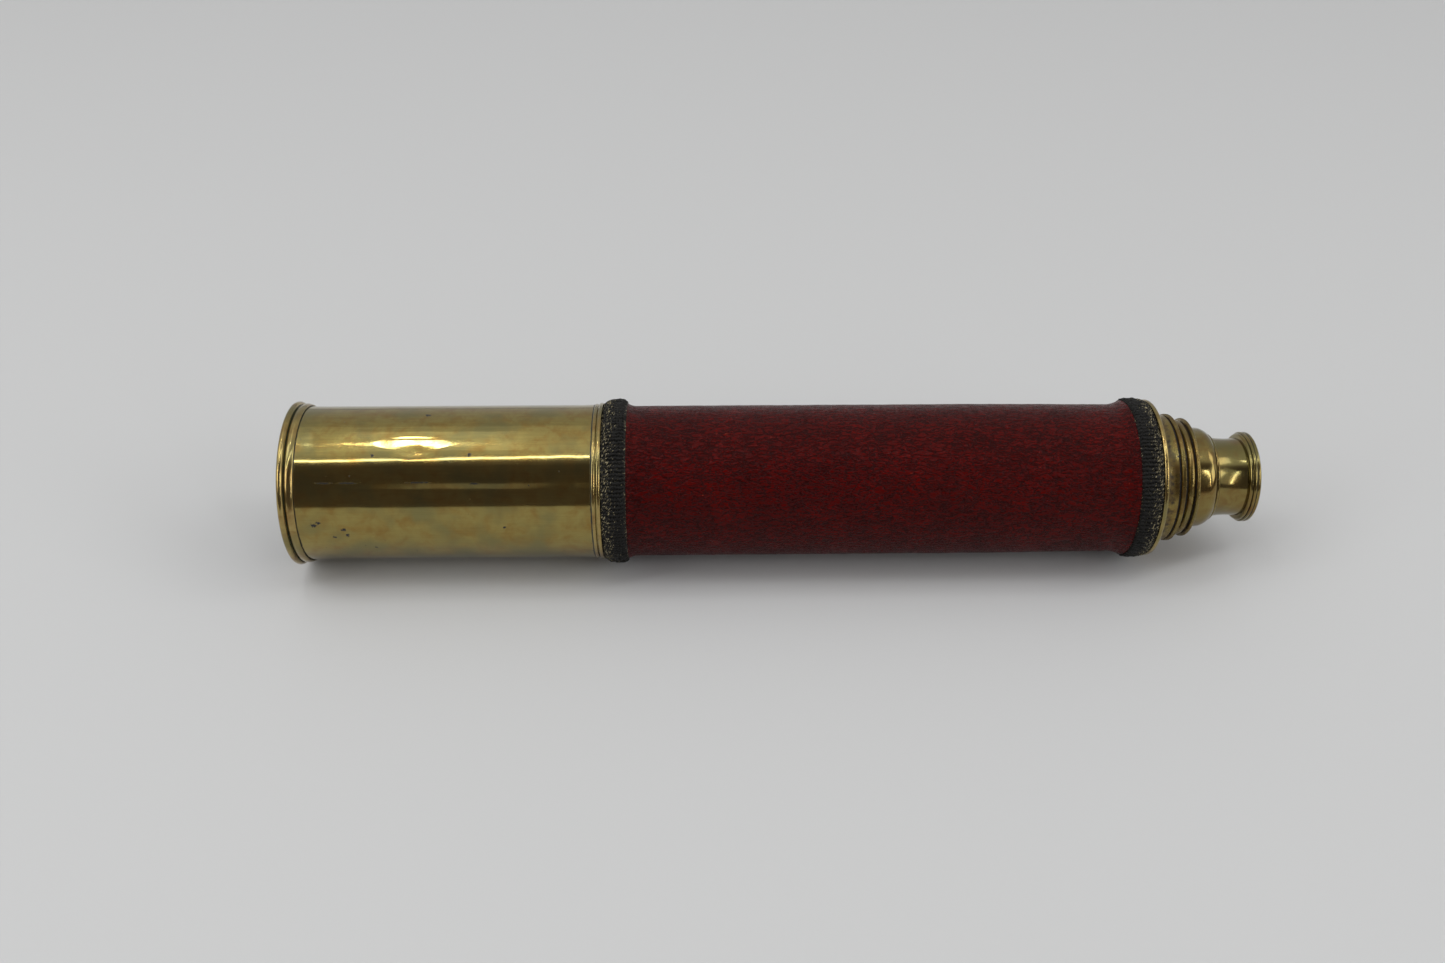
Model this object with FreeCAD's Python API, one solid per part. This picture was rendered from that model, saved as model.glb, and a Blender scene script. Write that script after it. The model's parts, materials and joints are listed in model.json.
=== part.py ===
"""Hand telescope with three brass draws, a sliding ray shade and a leather-covered barrel.

It lies closed along X: the shade's mouth points to -X and the eye cup to +X. The origin is at the
middle of its length, on the surface that it lies on, and every piece is turned about one axis.
Run from the folder that holds this file: it writes parts/NODE.step, in millimetres.
"""

import FreeCAD
import Part
import math
import os

# ---------------------------------------------------------------- barrel
barrel_dia = 55.6  # outside of the brass main tube
barrel_wall = 1.0
leather_length = 187.6
leather_thickness = 0.7
leather_flare_length = 3.5  # where the leather climbs the front ferrule's tail
leather_waist = 0.42  # how far the leather has shrunk in ahead of the rear collar
leather_taper_length = 46.0  # over which it narrows to that waist
leather_rear_flare = 5.2  # from the waist up to the rear collar
ferrule_seat_height = 1.0  # of the cord collars' seats above the tube
front_ring_width = 1.4  # bright ring between the shade and the front collar
front_ring_height = 1.95
front_collar_width = 9.2
front_collar_height = 2.55  # of its crown above its seat
front_collar_edge = 1.1  # height of its low edge, against the brass
rear_collar_width = 8.4
rear_collar_height = 1.85
rear_collar_edge = 1.1
cord_climb = 0.5  # share of a collar's width over which it climbs to its crown
cord_swell = 0.74  # share of that climb reached half way
cord_round = 1.4  # radius of its round edge against the leather
end_plate_thickness = 1.5
end_plate_height = 1.0  # above the collars' seats
end_boss_length = 9.0  # of the end cap, inside the barrel

# ---------------------------------------------------------------- ray shade
shade_wall = 1.1
shade_length = 114.3  # from the mouth to the rear bead
shade_overlap = 20.0  # what stays on the barrel when the shade is drawn out
mouth_lip_height = 0.5  # how far the rim's bore is inside the tube's
mouth_lip_length = 4.0
rim_bead_width = 2.6  # half-round bead at the mouth
rim_root_height = 0.6  # of the bead's and the band's roots above the shade's tube
rim_band_width = 3.2  # low band behind the bead
rim_band_height = 1.1
rear_bead_width = 1.5
rear_bead_height = 0.35
rear_bead_seat = 0.5  # depth of the rabbet that it is soldered in
shade_gap = 0.4  # between the rear bead and the barrel's front ring

# ---------------------------------------------------------------- objective
objective_recess = 8.0  # from the mouth to the cell's face, with the shade home
cell_flange_thickness = 3.0
cell_flange_clearance = 0.3
cell_wall = 1.05
lens_clearance = 0.05
lens_shoulder = 1.5  # width of the cell's shoulder and of the retaining ring
retaining_ring_depth = 0.7
retaining_ring_thickness = 1.6
crown_thickness = 6.0
crown_front_radius = 460.0
contact_radius = 330.0  # shared by the crown's back and the flint's front
flint_thickness = 3.6
flint_back_radius = 2000.0
foil_gap = 0.1
cell_tail = 3.0  # of the cell, behind the flint's shoulder

# ---------------------------------------------------------------- draw tubes
draw_wall = 0.6
barrel_band = 3.9  # from the barrel's bore to the first draw's outside
sleeve_band = 1.8  # from a draw's bore to the next draw's outside
stop_ring_length = 7.0
stop_ring_lip = 1.2
front_room = 6.0  # between the objective's cell and the closed first draw
stop_ring_room = 2.0  # from each stop ring's lip to the next draw's end
sleeve_length = 40.0
sleeve_seat_length = 8.0
sleeve_wall = 0.85
slot_width = 0.8
slot_length = 26.0
slot_count = 4

draw_1_collar_length = 8.1
draw_1_collar_rise = 1.3  # of its milled lip above the tube
draw_1_lip_width = 1.7
draw_1_groove_width = 0.8
draw_1_groove_depth = 0.9
draw_1_cove_depth = 0.5
draw_2_collar_length = 5.7
draw_2_collar_rise = 2.1  # of its milled lip above the tube
draw_2_neck_length = 1.4
draw_2_lip_width = 1.2
draw_2_bead_drop = 0.65  # from the lip down to the round bead's crown
collar_flange = 1.2  # thickness of the flange that closes each collar

# ---------------------------------------------------------------- eye end
eye_collar_length = 9.2
eye_collar_rise = 0.85
eye_collar_straight = 5.9  # before its shoulder rounds in
eye_shoulder_drop = 1.7  # from the straight part down to the shoulder's end
eye_bead_width = 1.1
eye_bead_rise = 1.45  # above the neck's start
eye_collar_seat = 6.0  # length of draw tube inside the collar
neck_length = 11.25
neck_step = 2.7  # from the third draw's outside in to the neck's start
neck_taper = 0.55  # from the neck's start in to its end
neck_waist = 0.48  # how far its middle draws in from the line between them
neck_wall = 1.8
eye_rim_rise = 1.75  # of the cup's lands above the neck's start
rim_shoulder_width = 1.2  # round shoulder in front of the lands
rim_shoulder_drop = 0.55  # of its crown below the lands
rim_shoulder_root = 1.5  # of its foot below the lands
rim_land_width = 0.95
rim_groove_width = 0.3
rim_groove_depth = 0.3
rim_land_count = 2
rim_round_width = 0.7  # where the lands round down to the cup's face
rim_round_drop = 1.75
cup_wall = 3.5
cup_depth = 5.0
cup_corner = 2.5
cup_floor = 1.2
eye_hole_dia = 9.0

# ---------------------------------------------------------------- eyepiece and erector
eyepiece_wall = 1.0
eyepiece_length = 52.0
field_lens_thickness = 5.0
field_lens_radius = 34.0
field_stop_width = 4.6  # from the eyepiece's bore in to the hole
field_stop_place = 30.0  # from the eyepiece tube's front end
eye_cell_wall = 5.0
eye_lens_thickness = 3.6
eye_lens_radius = 18.0
eye_lens_cell_length = 7.0
eye_cell_floor = 1.4
erector_dia = 25.0
erector_wall = 1.0
erector_length = 58.0
erector_flange = 4.0
erector_lens_thickness = 4.2
erector_lens_radius = 30.0
erector_stop_dia = 3.6
lens_ring_width = 1.4
lens_ring_length = 1.5
stop_thickness = 1.0

# ---------------------------------------------------------------- fits
solder_gap = 0.02  # between pieces that are soldered or screwed together
sliding_gap = 0.1  # round the shade and round each stop ring
sleeve_gap = 0.05  # between a sleeve and the draw that it grips
pass_gap = 0.15  # where a draw passes a flange without touching
face_gap = 0.1  # between the faces that meet when the telescope is closed
edge_break = 0.3

# ---------------------------------------------------------------- radii from the sizes above
barrel_radius = barrel_dia / 2
barrel_bore = barrel_radius - barrel_wall
collar_seat_radius = barrel_radius + ferrule_seat_height
front_ring_radius = barrel_radius + front_ring_height
shade_bore = barrel_radius + sliding_gap
shade_radius = shade_bore + shade_wall
mouth_radius = shade_bore - mouth_lip_height
rim_root = shade_radius + rim_root_height
rim_crown = rim_root + rim_bead_width / 2
cell_radius = barrel_bore - solder_gap
cell_pocket = cell_radius - cell_wall
lens_radius = cell_pocket - lens_clearance

draw_radius = [barrel_bore - barrel_band]
for step in range(2):
    draw_radius.append(draw_radius[-1] - draw_wall - sleeve_band)
draw_bore = [radius - draw_wall for radius in draw_radius]
outer_bore = [barrel_bore, draw_bore[0], draw_bore[1]]  # what each draw slides in

# ---------------------------------------------------------------- stations along the axis
rim_length = rim_bead_width + rim_band_width
eye_rim_width = (
    rim_shoulder_width + rim_land_count * (rim_groove_width + rim_land_width) + rim_round_width
)
overall_length = (
    shade_length + shade_gap + front_ring_width + front_collar_width + leather_length
    + rear_collar_width + end_plate_thickness
    + face_gap + draw_1_collar_length
    + face_gap + draw_2_collar_length
    + face_gap + eye_collar_length + neck_length + eye_rim_width
)
x_mouth = -overall_length / 2
x_shade_end = x_mouth + shade_length
x_cell = x_mouth + objective_recess
x_barrel = x_cell + cell_flange_thickness
x_front_ring = x_shade_end + shade_gap
x_front_collar = x_front_ring + front_ring_width
x_leather = x_front_collar + front_collar_width
x_rear_collar = x_leather + leather_length
x_end_plate = x_rear_collar + rear_collar_width
x_draw_collar_1 = x_end_plate + end_plate_thickness + face_gap
x_draw_collar_2 = x_draw_collar_1 + draw_1_collar_length + face_gap
x_eye_collar = x_draw_collar_2 + draw_2_collar_length + face_gap
x_neck = x_eye_collar + eye_collar_length
x_eye_rim = x_neck + neck_length
x_eye_face = x_eye_rim + eye_rim_width

axis_height = max(
    collar_seat_radius + front_collar_height, collar_seat_radius + rear_collar_height, rim_crown
)


# ---------------------------------------------------------------- turning
class Outline:
    """A closed outline in the half plane above the axis: x along it, r out from it."""

    def __init__(self, x, r):
        self.first = self.last = self.point(x, r)
        self.edges = []

    @staticmethod
    def point(x, r):
        return FreeCAD.Vector(x, 0, axis_height + r)

    def to(self, x, r):
        """A straight side to (x, r)."""
        end = self.point(x, r)
        self.edges.append(Part.LineSegment(self.last, end).toShape())
        self.last = end
        return self

    def arc(self, x_middle, r_middle, x, r):
        """A round side through (x_middle, r_middle) to (x, r)."""
        end = self.point(x, r)
        middle = self.point(x_middle, r_middle)
        self.edges.append(Part.Arc(self.last, middle, end).toShape())
        self.last = end
        return self

    def spin(self):
        """The solid that the outline sweeps in one turn about the axis."""
        if not self.last.isEqual(self.first, 1e-9):
            self.edges.append(Part.LineSegment(self.last, self.first).toShape())
        face = Part.Face(Part.Wire(self.edges))
        return face.revolve(FreeCAD.Vector(0, 0, axis_height), FreeCAD.Vector(1, 0, 0), 360)


def ring(x_start, x_end, r_in, r_out):
    """A plain ring or tube with square ends."""
    outline = Outline(x_start, r_in).to(x_start, r_out).to(x_end, r_out).to(x_end, r_in)
    return outline.spin()


def bulge(curve, r):
    """The height of a lens face over its chord at r: negative where it is hollow, None is flat."""
    if curve is None:
        return 0.0
    return math.copysign(abs(curve) - math.sqrt(curve**2 - r**2), curve)


def seat_depth(curve, r_rim, r_seat):
    """How far a lens's rim stands off a seat of radius r_seat that its face rests on."""
    return bulge(curve, r_rim) - bulge(curve, r_seat) + solder_gap


def lens(x_rim, rim_width, r, front, back):
    """A lens whose rim starts at x_rim, from the radii of its two faces."""
    x_back = x_rim + rim_width
    outline = Outline(x_rim - bulge(front, r), 0)
    if front is None:
        outline.to(x_rim, r)
    else:
        outline.arc(x_rim - bulge(front, r) + bulge(front, r / 2), r / 2, x_rim, r)
    outline.to(x_back, r)
    if back is None:
        outline.to(x_back, 0)
    else:
        x_middle = x_back + bulge(back, r)
        outline.arc(x_middle - bulge(back, r / 2), r / 2, x_middle, 0)
    return outline.spin()


def radial_slots(x_start, length, r_in, r_out, width, count):
    """Bars that cut slots through a ring's wall, evenly spaced round the axis."""
    bars = []
    for i in range(count):
        bar = Part.makeBox(length, width, r_out - r_in)
        bar.translate(FreeCAD.Vector(x_start, -width / 2, axis_height + r_in))
        turn = 360 * (i + 0.5) / count
        bar.rotate(FreeCAD.Vector(0, 0, axis_height), FreeCAD.Vector(1, 0, 0), turn)
        bars.append(bar)
    return bars


def export(name, shape):
    """Writes one node, after testing that it is sound."""
    if not shape.isValid() or shape.Volume <= 0:
        raise ValueError(f"{name} is not a sound solid")
    shape.exportStep(f"parts/{name}.step")
    print(f"{name:24s} {len(shape.Solids)} solid, {shape.Volume:9.1f} mm3")


# ---------------------------------------------------------------- ray shade
def shade_front_rim():
    """Cast ring at the mouth: a round bead and a flat band, bored to take a lens cap."""
    x_groove = x_mouth + rim_bead_width
    x_back = x_mouth + rim_length
    band = shade_radius + rim_band_height
    outline = Outline(x_mouth, mouth_radius + edge_break)
    outline.to(x_mouth, rim_root)
    outline.arc(x_mouth + rim_bead_width / 2, rim_crown, x_groove, rim_root)
    outline.arc(x_groove + rim_band_width / 2, band, x_back, rim_root)
    outline.to(x_back, shade_radius + solder_gap)
    outline.to(x_mouth + mouth_lip_length, shade_radius + solder_gap)
    outline.to(x_mouth + mouth_lip_length, mouth_radius)
    outline.to(x_mouth + edge_break, mouth_radius)
    return outline.spin()


def shade_tube():
    """Seamed tube that slides on the barrel, with a rabbet for its rear bead."""
    x_rabbet = x_shade_end - rear_bead_width
    outline = Outline(x_mouth + mouth_lip_length, shade_bore)
    outline.to(x_mouth + mouth_lip_length, shade_radius)
    outline.to(x_rabbet, shade_radius)
    outline.to(x_rabbet, shade_radius - rear_bead_seat)
    outline.to(x_shade_end, shade_radius - rear_bead_seat)
    outline.to(x_shade_end, shade_bore)
    return outline.spin()


def shade_rear_bead():
    """Half-round wire ring soldered round the shade's rear end."""
    x_start = x_shade_end - rear_bead_width + solder_gap
    r_in = shade_radius - rear_bead_seat + solder_gap
    outline = Outline(x_start, r_in)
    outline.to(x_start, shade_radius)
    outline.arc(
        (x_start + x_shade_end) / 2, shade_radius + rear_bead_height, x_shade_end, shade_radius
    )
    outline.to(x_shade_end, r_in)
    return outline.spin()


# ---------------------------------------------------------------- barrel
def barrel_tube():
    """Brass main tube, from the objective's cell to the end plate."""
    return ring(x_barrel, x_end_plate, barrel_bore, barrel_radius)


def front_ferrule():
    """Ring that stops the shade, a seat for the cord collar and a tail under the leather."""
    r_in = barrel_radius + solder_gap
    outline = Outline(x_front_ring, r_in)
    outline.to(x_front_ring, front_ring_radius - edge_break)
    outline.arc(
        x_front_ring + front_ring_width / 2, front_ring_radius,
        x_front_collar, front_ring_radius - edge_break,
    )
    outline.to(x_front_collar, collar_seat_radius)
    outline.to(x_leather, collar_seat_radius)
    outline.to(x_leather + leather_flare_length, r_in)
    return outline.spin()


def rear_ferrule():
    """Seat for the rear cord collar, with a tail under the leather."""
    r_in = barrel_radius + solder_gap
    outline = Outline(x_rear_collar - leather_flare_length, r_in)
    outline.to(x_rear_collar, collar_seat_radius)
    outline.to(x_end_plate, collar_seat_radius)
    outline.to(x_end_plate, r_in)
    return outline.spin()


def leather_cover():
    """Leather sleeve glued round the barrel, flared where it climbs the ferrules."""
    inner = barrel_radius + solder_gap
    lifted = collar_seat_radius + solder_gap
    outer = inner + leather_thickness
    lifted_outer = lifted + leather_thickness
    x_start = x_leather + solder_gap
    x_end = x_rear_collar - solder_gap
    x_flare = x_leather + leather_flare_length
    x_rear_tail = x_rear_collar - leather_flare_length
    x_waist = x_rear_collar - leather_rear_flare
    waist = outer - leather_waist
    sag = 0.3 * (lifted_outer - outer)
    rear_sag = 0.2 * (lifted_outer - waist)
    outline = Outline(x_start, lifted)
    outline.to(x_start, lifted_outer)
    outline.arc((x_start + x_flare) / 2, (outer + lifted_outer) / 2 - sag, x_flare, outer)
    outline.to(x_waist - leather_taper_length, outer)
    outline.to(x_waist, waist)
    outline.arc((x_waist + x_end) / 2, (waist + lifted_outer) / 2 - rear_sag, x_end, lifted_outer)
    outline.to(x_end, lifted)
    outline.to(x_rear_tail, inner)
    outline.to(x_flare, inner)
    return outline.spin()


def cord_collar(x_low, x_high, edge_height, crown_height):
    """Knotted cord wound on a ferrule: it climbs from its low edge, at x_low against the brass,
    to its crown, and rounds down at x_high against the leather."""
    away = math.copysign(1, x_high - x_low)
    x_low += away * solder_gap
    x_high -= away * solder_gap
    seat = collar_seat_radius + solder_gap
    edge = collar_seat_radius + edge_height
    crown = collar_seat_radius + crown_height
    x_crown = x_low + cord_climb * (x_high - x_low)
    x_round = x_high - away * cord_round
    outline = Outline(x_low, seat)
    outline.to(x_low, edge)
    outline.arc((x_low + x_crown) / 2, edge + cord_swell * (crown - edge), x_crown, crown)
    outline.to(x_round, crown)
    outline.arc(
        x_high - away * cord_round * (1 - math.sqrt(0.5)), crown - cord_round * (1 - math.sqrt(0.5)),
        x_high, crown - cord_round,
    )
    outline.to(x_high, seat)
    return outline.spin()


def end_cap():
    """Plate that closes the barrel's rear, with a boss that screws into the tube."""
    r_plate = collar_seat_radius + end_plate_height
    r_pass = draw_radius[0] + pass_gap
    r_seat = draw_radius[0] + sleeve_gap + sleeve_wall + solder_gap
    x_back = x_end_plate + end_plate_thickness
    x_boss = x_end_plate - end_boss_length
    outline = Outline(x_boss, r_seat)
    outline.to(x_boss, barrel_bore - solder_gap)
    outline.to(x_end_plate + solder_gap, barrel_bore - solder_gap)
    outline.to(x_end_plate + solder_gap, r_plate - edge_break)
    outline.arc(
        (x_end_plate + x_back) / 2, r_plate, x_back - edge_break / 2, r_plate - edge_break
    )
    outline.to(x_back, r_plate - 2 * edge_break)
    outline.to(x_back, r_pass)
    outline.to(x_end_plate + edge_break, r_pass)
    outline.to(x_end_plate + edge_break, r_seat)
    return outline.spin()


def sleeve(x_rear, draw, seat_radius):
    """Springy sleeve that grips a draw: a seat ring behind and sawn tongues in front."""
    r_in = draw_radius[draw] + sleeve_gap
    r_out = r_in + sleeve_wall
    x_front = x_rear - sleeve_length
    x_seat = x_rear - sleeve_seat_length
    outline = Outline(x_front, r_in + edge_break)
    outline.to(x_front, r_out)
    outline.to(x_seat, r_out)
    if seat_radius > r_out:
        outline.to(x_seat, seat_radius)
        outline.to(x_rear, seat_radius)
    else:
        outline.to(x_rear, r_out)
    outline.to(x_rear, r_in)
    outline.to(x_front + edge_break, r_in)
    slots = radial_slots(
        x_front - edge_break, slot_length + edge_break, r_in - edge_break, r_out + edge_break,
        slot_width, slot_count,
    )
    return outline.spin().cut(slots)


# ---------------------------------------------------------------- objective
contact_bulge = bulge(contact_radius, lens_radius)
crown_edge = crown_thickness - bulge(crown_front_radius, lens_radius) - contact_bulge
flint_edge = flint_thickness + contact_bulge - bulge(flint_back_radius, lens_radius)
cell_aperture = lens_radius - lens_shoulder
x_ring_front = x_cell + retaining_ring_depth
x_ring_back = x_ring_front + retaining_ring_thickness
x_crown = x_ring_back + seat_depth(crown_front_radius, lens_radius, cell_aperture)
x_flint = x_crown + crown_edge + foil_gap
x_flint_back = x_flint + flint_edge
x_shoulder = x_flint_back + seat_depth(flint_back_radius, lens_radius, cell_aperture)
x_cell_end = x_shoulder + cell_tail


def objective_cell():
    """Turned cell, flanged to stop on the tube's end and shouldered behind the glass."""
    r_flange = shade_bore - cell_flange_clearance
    outline = Outline(x_cell, cell_pocket)
    outline.to(x_cell, r_flange - edge_break)
    outline.to(x_cell + edge_break, r_flange)
    outline.to(x_barrel - solder_gap, r_flange)
    outline.to(x_barrel - solder_gap, cell_radius)
    outline.to(x_cell_end, cell_radius)
    outline.to(x_cell_end, cell_aperture)
    outline.to(x_shoulder, cell_aperture)
    outline.to(x_shoulder, cell_pocket)
    return outline.spin()


def objective_ring():
    """Screwed ring that holds the doublet, with two slots for a pin spanner."""
    r_out = cell_pocket - solder_gap
    blank = ring(x_ring_front, x_ring_back, cell_aperture, r_out)
    depth = retaining_ring_thickness / 2
    slots = radial_slots(
        x_ring_front - depth, 2 * depth, cell_aperture - 1, r_out + 1, 2 * slot_width, 2
    )
    return blank.cut(slots)


def objective_crown():
    """Front glass of the doublet, convex on both faces."""
    return lens(x_crown, crown_edge, lens_radius, crown_front_radius, contact_radius)


def objective_flint():
    """Rear glass of the doublet, hollow in front to match the crown."""
    return lens(x_flint, flint_edge, lens_radius, -contact_radius, flint_back_radius)


# ---------------------------------------------------------------- draw tubes
draw_front = [x_cell_end + front_room]
for step in range(2):
    draw_front.append(draw_front[-1] + stop_ring_lip + stop_ring_room)
collar_rear = [x_draw_collar_1 + draw_1_collar_length, x_draw_collar_2 + draw_2_collar_length]
draw_rear = [rear - collar_flange - solder_gap for rear in collar_rear]
draw_rear.append(x_eye_collar + eye_collar_seat)
sleeve_rear = [x_end_plate + edge_break - solder_gap]
sleeve_rear += [rear - collar_flange - solder_gap for rear in collar_rear]


def draw_tube(draw):
    """One drawn brass tube, its front end inside its stop ring's lip."""
    x_front = draw_front[draw] + stop_ring_lip + solder_gap
    return ring(x_front, draw_rear[draw], draw_bore[draw], draw_radius[draw])


def stop_ring(draw):
    """Ring on a draw's front end: it runs in the tube outside and stops against the sleeve."""
    x_front = draw_front[draw]
    x_back = x_front + stop_ring_length
    r_out = outer_bore[draw] - sliding_gap
    r_tube = draw_radius[draw] + solder_gap
    r_lip = draw_bore[draw] - draw_wall
    outline = Outline(x_front, r_lip)
    outline.to(x_front, r_out - edge_break)
    outline.to(x_front + edge_break, r_out)
    outline.to(x_back, r_out)
    outline.to(x_back, r_tube)
    outline.to(x_front + stop_ring_lip, r_tube)
    outline.to(x_front + stop_ring_lip, r_lip)
    return outline.spin()


def travel(draw):
    """How far a draw comes out before its stop ring meets the sleeve."""
    x_sleeve = sleeve_rear[draw] - sleeve_length
    return x_sleeve - (draw_front[draw] + stop_ring_length)


def close_collar(outline, draw, x_front, x_rear):
    """Adds a collar's flange, which closes the tube's end, and the bore that the tube sits in."""
    r_pass = draw_radius[draw + 1] + pass_gap
    r_tube = draw_radius[draw] + solder_gap
    outline.to(x_rear, r_pass)
    outline.to(x_rear - collar_flange, r_pass)
    outline.to(x_rear - collar_flange, r_tube)
    outline.to(x_front, r_tube)


def draw_1_collar():
    """Collar of the first draw: a hollow neck, a groove and a milled lip to pull it by."""
    x_front = x_draw_collar_1
    x_rear = x_front + draw_1_collar_length
    x_lip = x_rear - draw_1_lip_width
    x_groove = x_lip - draw_1_groove_width
    r_lip = draw_radius[0] + draw_1_collar_rise
    r_neck = r_lip - draw_1_cove_depth
    r_groove = r_lip - draw_1_groove_depth
    outline = Outline(x_front, draw_radius[0] + solder_gap)
    outline.to(x_front, r_lip - edge_break)
    outline.arc((x_front + x_groove) / 2, r_neck - edge_break, x_groove, r_lip - edge_break)
    outline.to(x_groove, r_groove)
    outline.to(x_lip, r_groove)
    outline.to(x_lip, r_lip - edge_break)
    outline.to(x_lip + edge_break, r_lip)
    outline.to(x_rear - edge_break, r_lip)
    outline.to(x_rear, r_lip - edge_break)
    close_collar(outline, 0, x_front, x_rear)
    return outline.spin()


def draw_2_collar():
    """Collar of the second draw: a short neck, a round bead and a thin milled lip above it."""
    x_front = x_draw_collar_2
    x_rear = x_front + draw_2_collar_length
    x_bead = x_front + draw_2_neck_length
    x_lip = x_rear - draw_2_lip_width
    x_bead_end = x_lip - edge_break
    r_lip = draw_radius[1] + draw_2_collar_rise
    r_crown = r_lip - draw_2_bead_drop
    r_root = r_crown - (x_bead_end - x_bead) / 3
    outline = Outline(x_front, draw_radius[1] + solder_gap)
    outline.to(x_front, r_root)
    outline.to(x_bead, r_root)
    outline.arc((x_bead + x_bead_end) / 2, r_crown, x_bead_end, r_root)
    outline.to(x_lip, r_root)
    outline.to(x_lip, r_lip - edge_break)
    outline.arc((x_lip + x_rear) / 2, r_lip, x_rear, r_lip - edge_break)
    close_collar(outline, 1, x_front, x_rear)
    return outline.spin()


# ---------------------------------------------------------------- eye end
eye_collar_radius = draw_radius[2] + eye_collar_rise
neck_radius = draw_radius[2] - neck_step
eye_bead_radius = neck_radius + eye_bead_rise
eye_rim_radius = neck_radius + eye_rim_rise
cup_radius = eye_rim_radius - cup_wall
neck_bore = neck_radius - neck_wall
eyepiece_radius = neck_bore - solder_gap
eyepiece_bore = eyepiece_radius - eyepiece_wall
x_cup_floor = x_eye_face - cup_depth
x_cup_back = x_cup_floor - cup_floor
x_eyepiece_end = x_cup_back - solder_gap
x_eyepiece = x_eyepiece_end - eyepiece_length


def eyepiece_collar():
    """Domed collar that closes the third draw and carries the eyepiece on its thread."""
    x_front = x_eye_collar
    x_bead = x_neck - eye_bead_width
    x_round = x_front + eye_collar_straight
    r_shoulder = eye_collar_radius - eye_shoulder_drop
    x_lean = x_round + 0.6 * (x_bead - x_round)
    r_lean = r_shoulder + 0.6 * eye_shoulder_drop
    r_tube = draw_radius[2] + solder_gap
    x_seat = draw_rear[2] + solder_gap
    outline = Outline(x_front, r_tube)
    outline.to(x_front, eye_collar_radius - edge_break)
    outline.to(x_front + edge_break, eye_collar_radius)
    outline.to(x_round, eye_collar_radius)
    outline.arc(x_lean, r_lean, x_bead, r_shoulder)
    outline.to(x_bead, eye_bead_radius - edge_break)
    outline.arc(
        (x_bead + x_neck) / 2, eye_bead_radius, x_neck - solder_gap, eye_bead_radius - edge_break
    )
    outline.to(x_neck - solder_gap, neck_bore + solder_gap)
    outline.to(x_seat, neck_bore + solder_gap)
    outline.to(x_seat, r_tube)
    return outline.spin()


def eyepiece_neck():
    """Waisted neck between the domed collar and the cup, bored for the eyepiece's tube."""
    x_start = x_neck + solder_gap
    x_middle = (x_neck + x_eye_rim) / 2
    r_middle = neck_radius - neck_taper / 2 - neck_waist
    outline = Outline(x_start, neck_bore + solder_gap)
    outline.to(x_start, neck_radius)
    outline.arc(x_middle, r_middle, x_eye_rim, neck_radius - neck_taper)
    outline.to(x_eye_rim, neck_bore + solder_gap)
    return outline.spin()


def eye_cup():
    """Reeded cap screwed into the neck, dished for the eye, with a hole at the exit pupil."""
    x_back = x_eye_rim + solder_gap
    x_shoulder_end = x_eye_rim + rim_shoulder_width
    r_root = eye_rim_radius - rim_shoulder_root
    r_shoulder = eye_rim_radius - rim_shoulder_drop
    r_face = eye_rim_radius - rim_round_drop
    outline = Outline(x_cup_back, eye_hole_dia / 2)
    outline.to(x_cup_back, neck_bore)
    outline.to(x_back, neck_bore)
    outline.to(x_back, r_root)
    outline.arc(
        x_back + 0.3 * rim_shoulder_width, (r_root + r_shoulder) / 2 + 0.2, x_shoulder_end, r_shoulder
    )
    x_groove, r_before = x_shoulder_end, r_shoulder
    for i in range(rim_land_count):
        x_land = x_groove + rim_groove_width
        outline.to(x_groove + rim_groove_width / 2, r_before - rim_groove_depth)
        outline.to(x_land, eye_rim_radius)
        outline.to(x_land + rim_land_width, eye_rim_radius)
        x_groove, r_before = x_land + rim_land_width, eye_rim_radius
    outline.arc(
        x_groove + 0.65 * rim_round_width, eye_rim_radius - 0.35 * rim_round_drop, x_eye_face, r_face
    )
    outline.to(x_eye_face, cup_radius + edge_break)
    outline.to(x_eye_face - edge_break, cup_radius)
    outline.to(x_cup_floor + cup_corner, cup_radius)
    corner_middle = cup_corner * (1 - math.sqrt(0.5))
    outline.arc(
        x_cup_floor + corner_middle, cup_radius - corner_middle,
        x_cup_floor, cup_radius - cup_corner,
    )
    outline.to(x_cup_floor, eye_hole_dia / 2)
    return outline.spin()


def eyepiece_tube():
    """Inner tube that carries the eyepiece's two lenses and its stop."""
    return ring(x_eyepiece, x_eyepiece_end, eyepiece_bore, eyepiece_radius)


field_lens_rim = eyepiece_bore - lens_clearance
field_ring_outside = eyepiece_bore - solder_gap
field_ring_bore = field_ring_outside - lens_ring_width
x_field_ring = x_eyepiece + edge_break
x_field_ring_back = x_field_ring + lens_ring_length
x_field_lens = x_field_ring_back + seat_depth(field_lens_radius, field_lens_rim, field_ring_bore)
field_lens_edge = field_lens_thickness - bulge(field_lens_radius, field_lens_rim)


def field_lens():
    """Plano-convex field lens, its round face to the front."""
    return lens(x_field_lens, field_lens_edge, field_lens_rim, field_lens_radius, None)


def field_lens_rings():
    """The screwed ring in front of the field lens and the one behind it."""
    x_behind = x_field_lens + field_lens_edge + solder_gap
    front = ring(x_field_ring, x_field_ring_back, field_ring_bore, field_ring_outside)
    behind = ring(x_behind, x_behind + lens_ring_length, field_ring_bore, field_ring_outside)
    return Part.makeCompound([front, behind])


def field_stop():
    """Blackened diaphragm at the eyepiece's image."""
    x_start = x_eyepiece + field_stop_place
    r_out = eyepiece_bore - solder_gap
    r_hole = eyepiece_bore - field_stop_width
    return ring(x_start, x_start + stop_thickness, r_hole, r_out)


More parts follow.
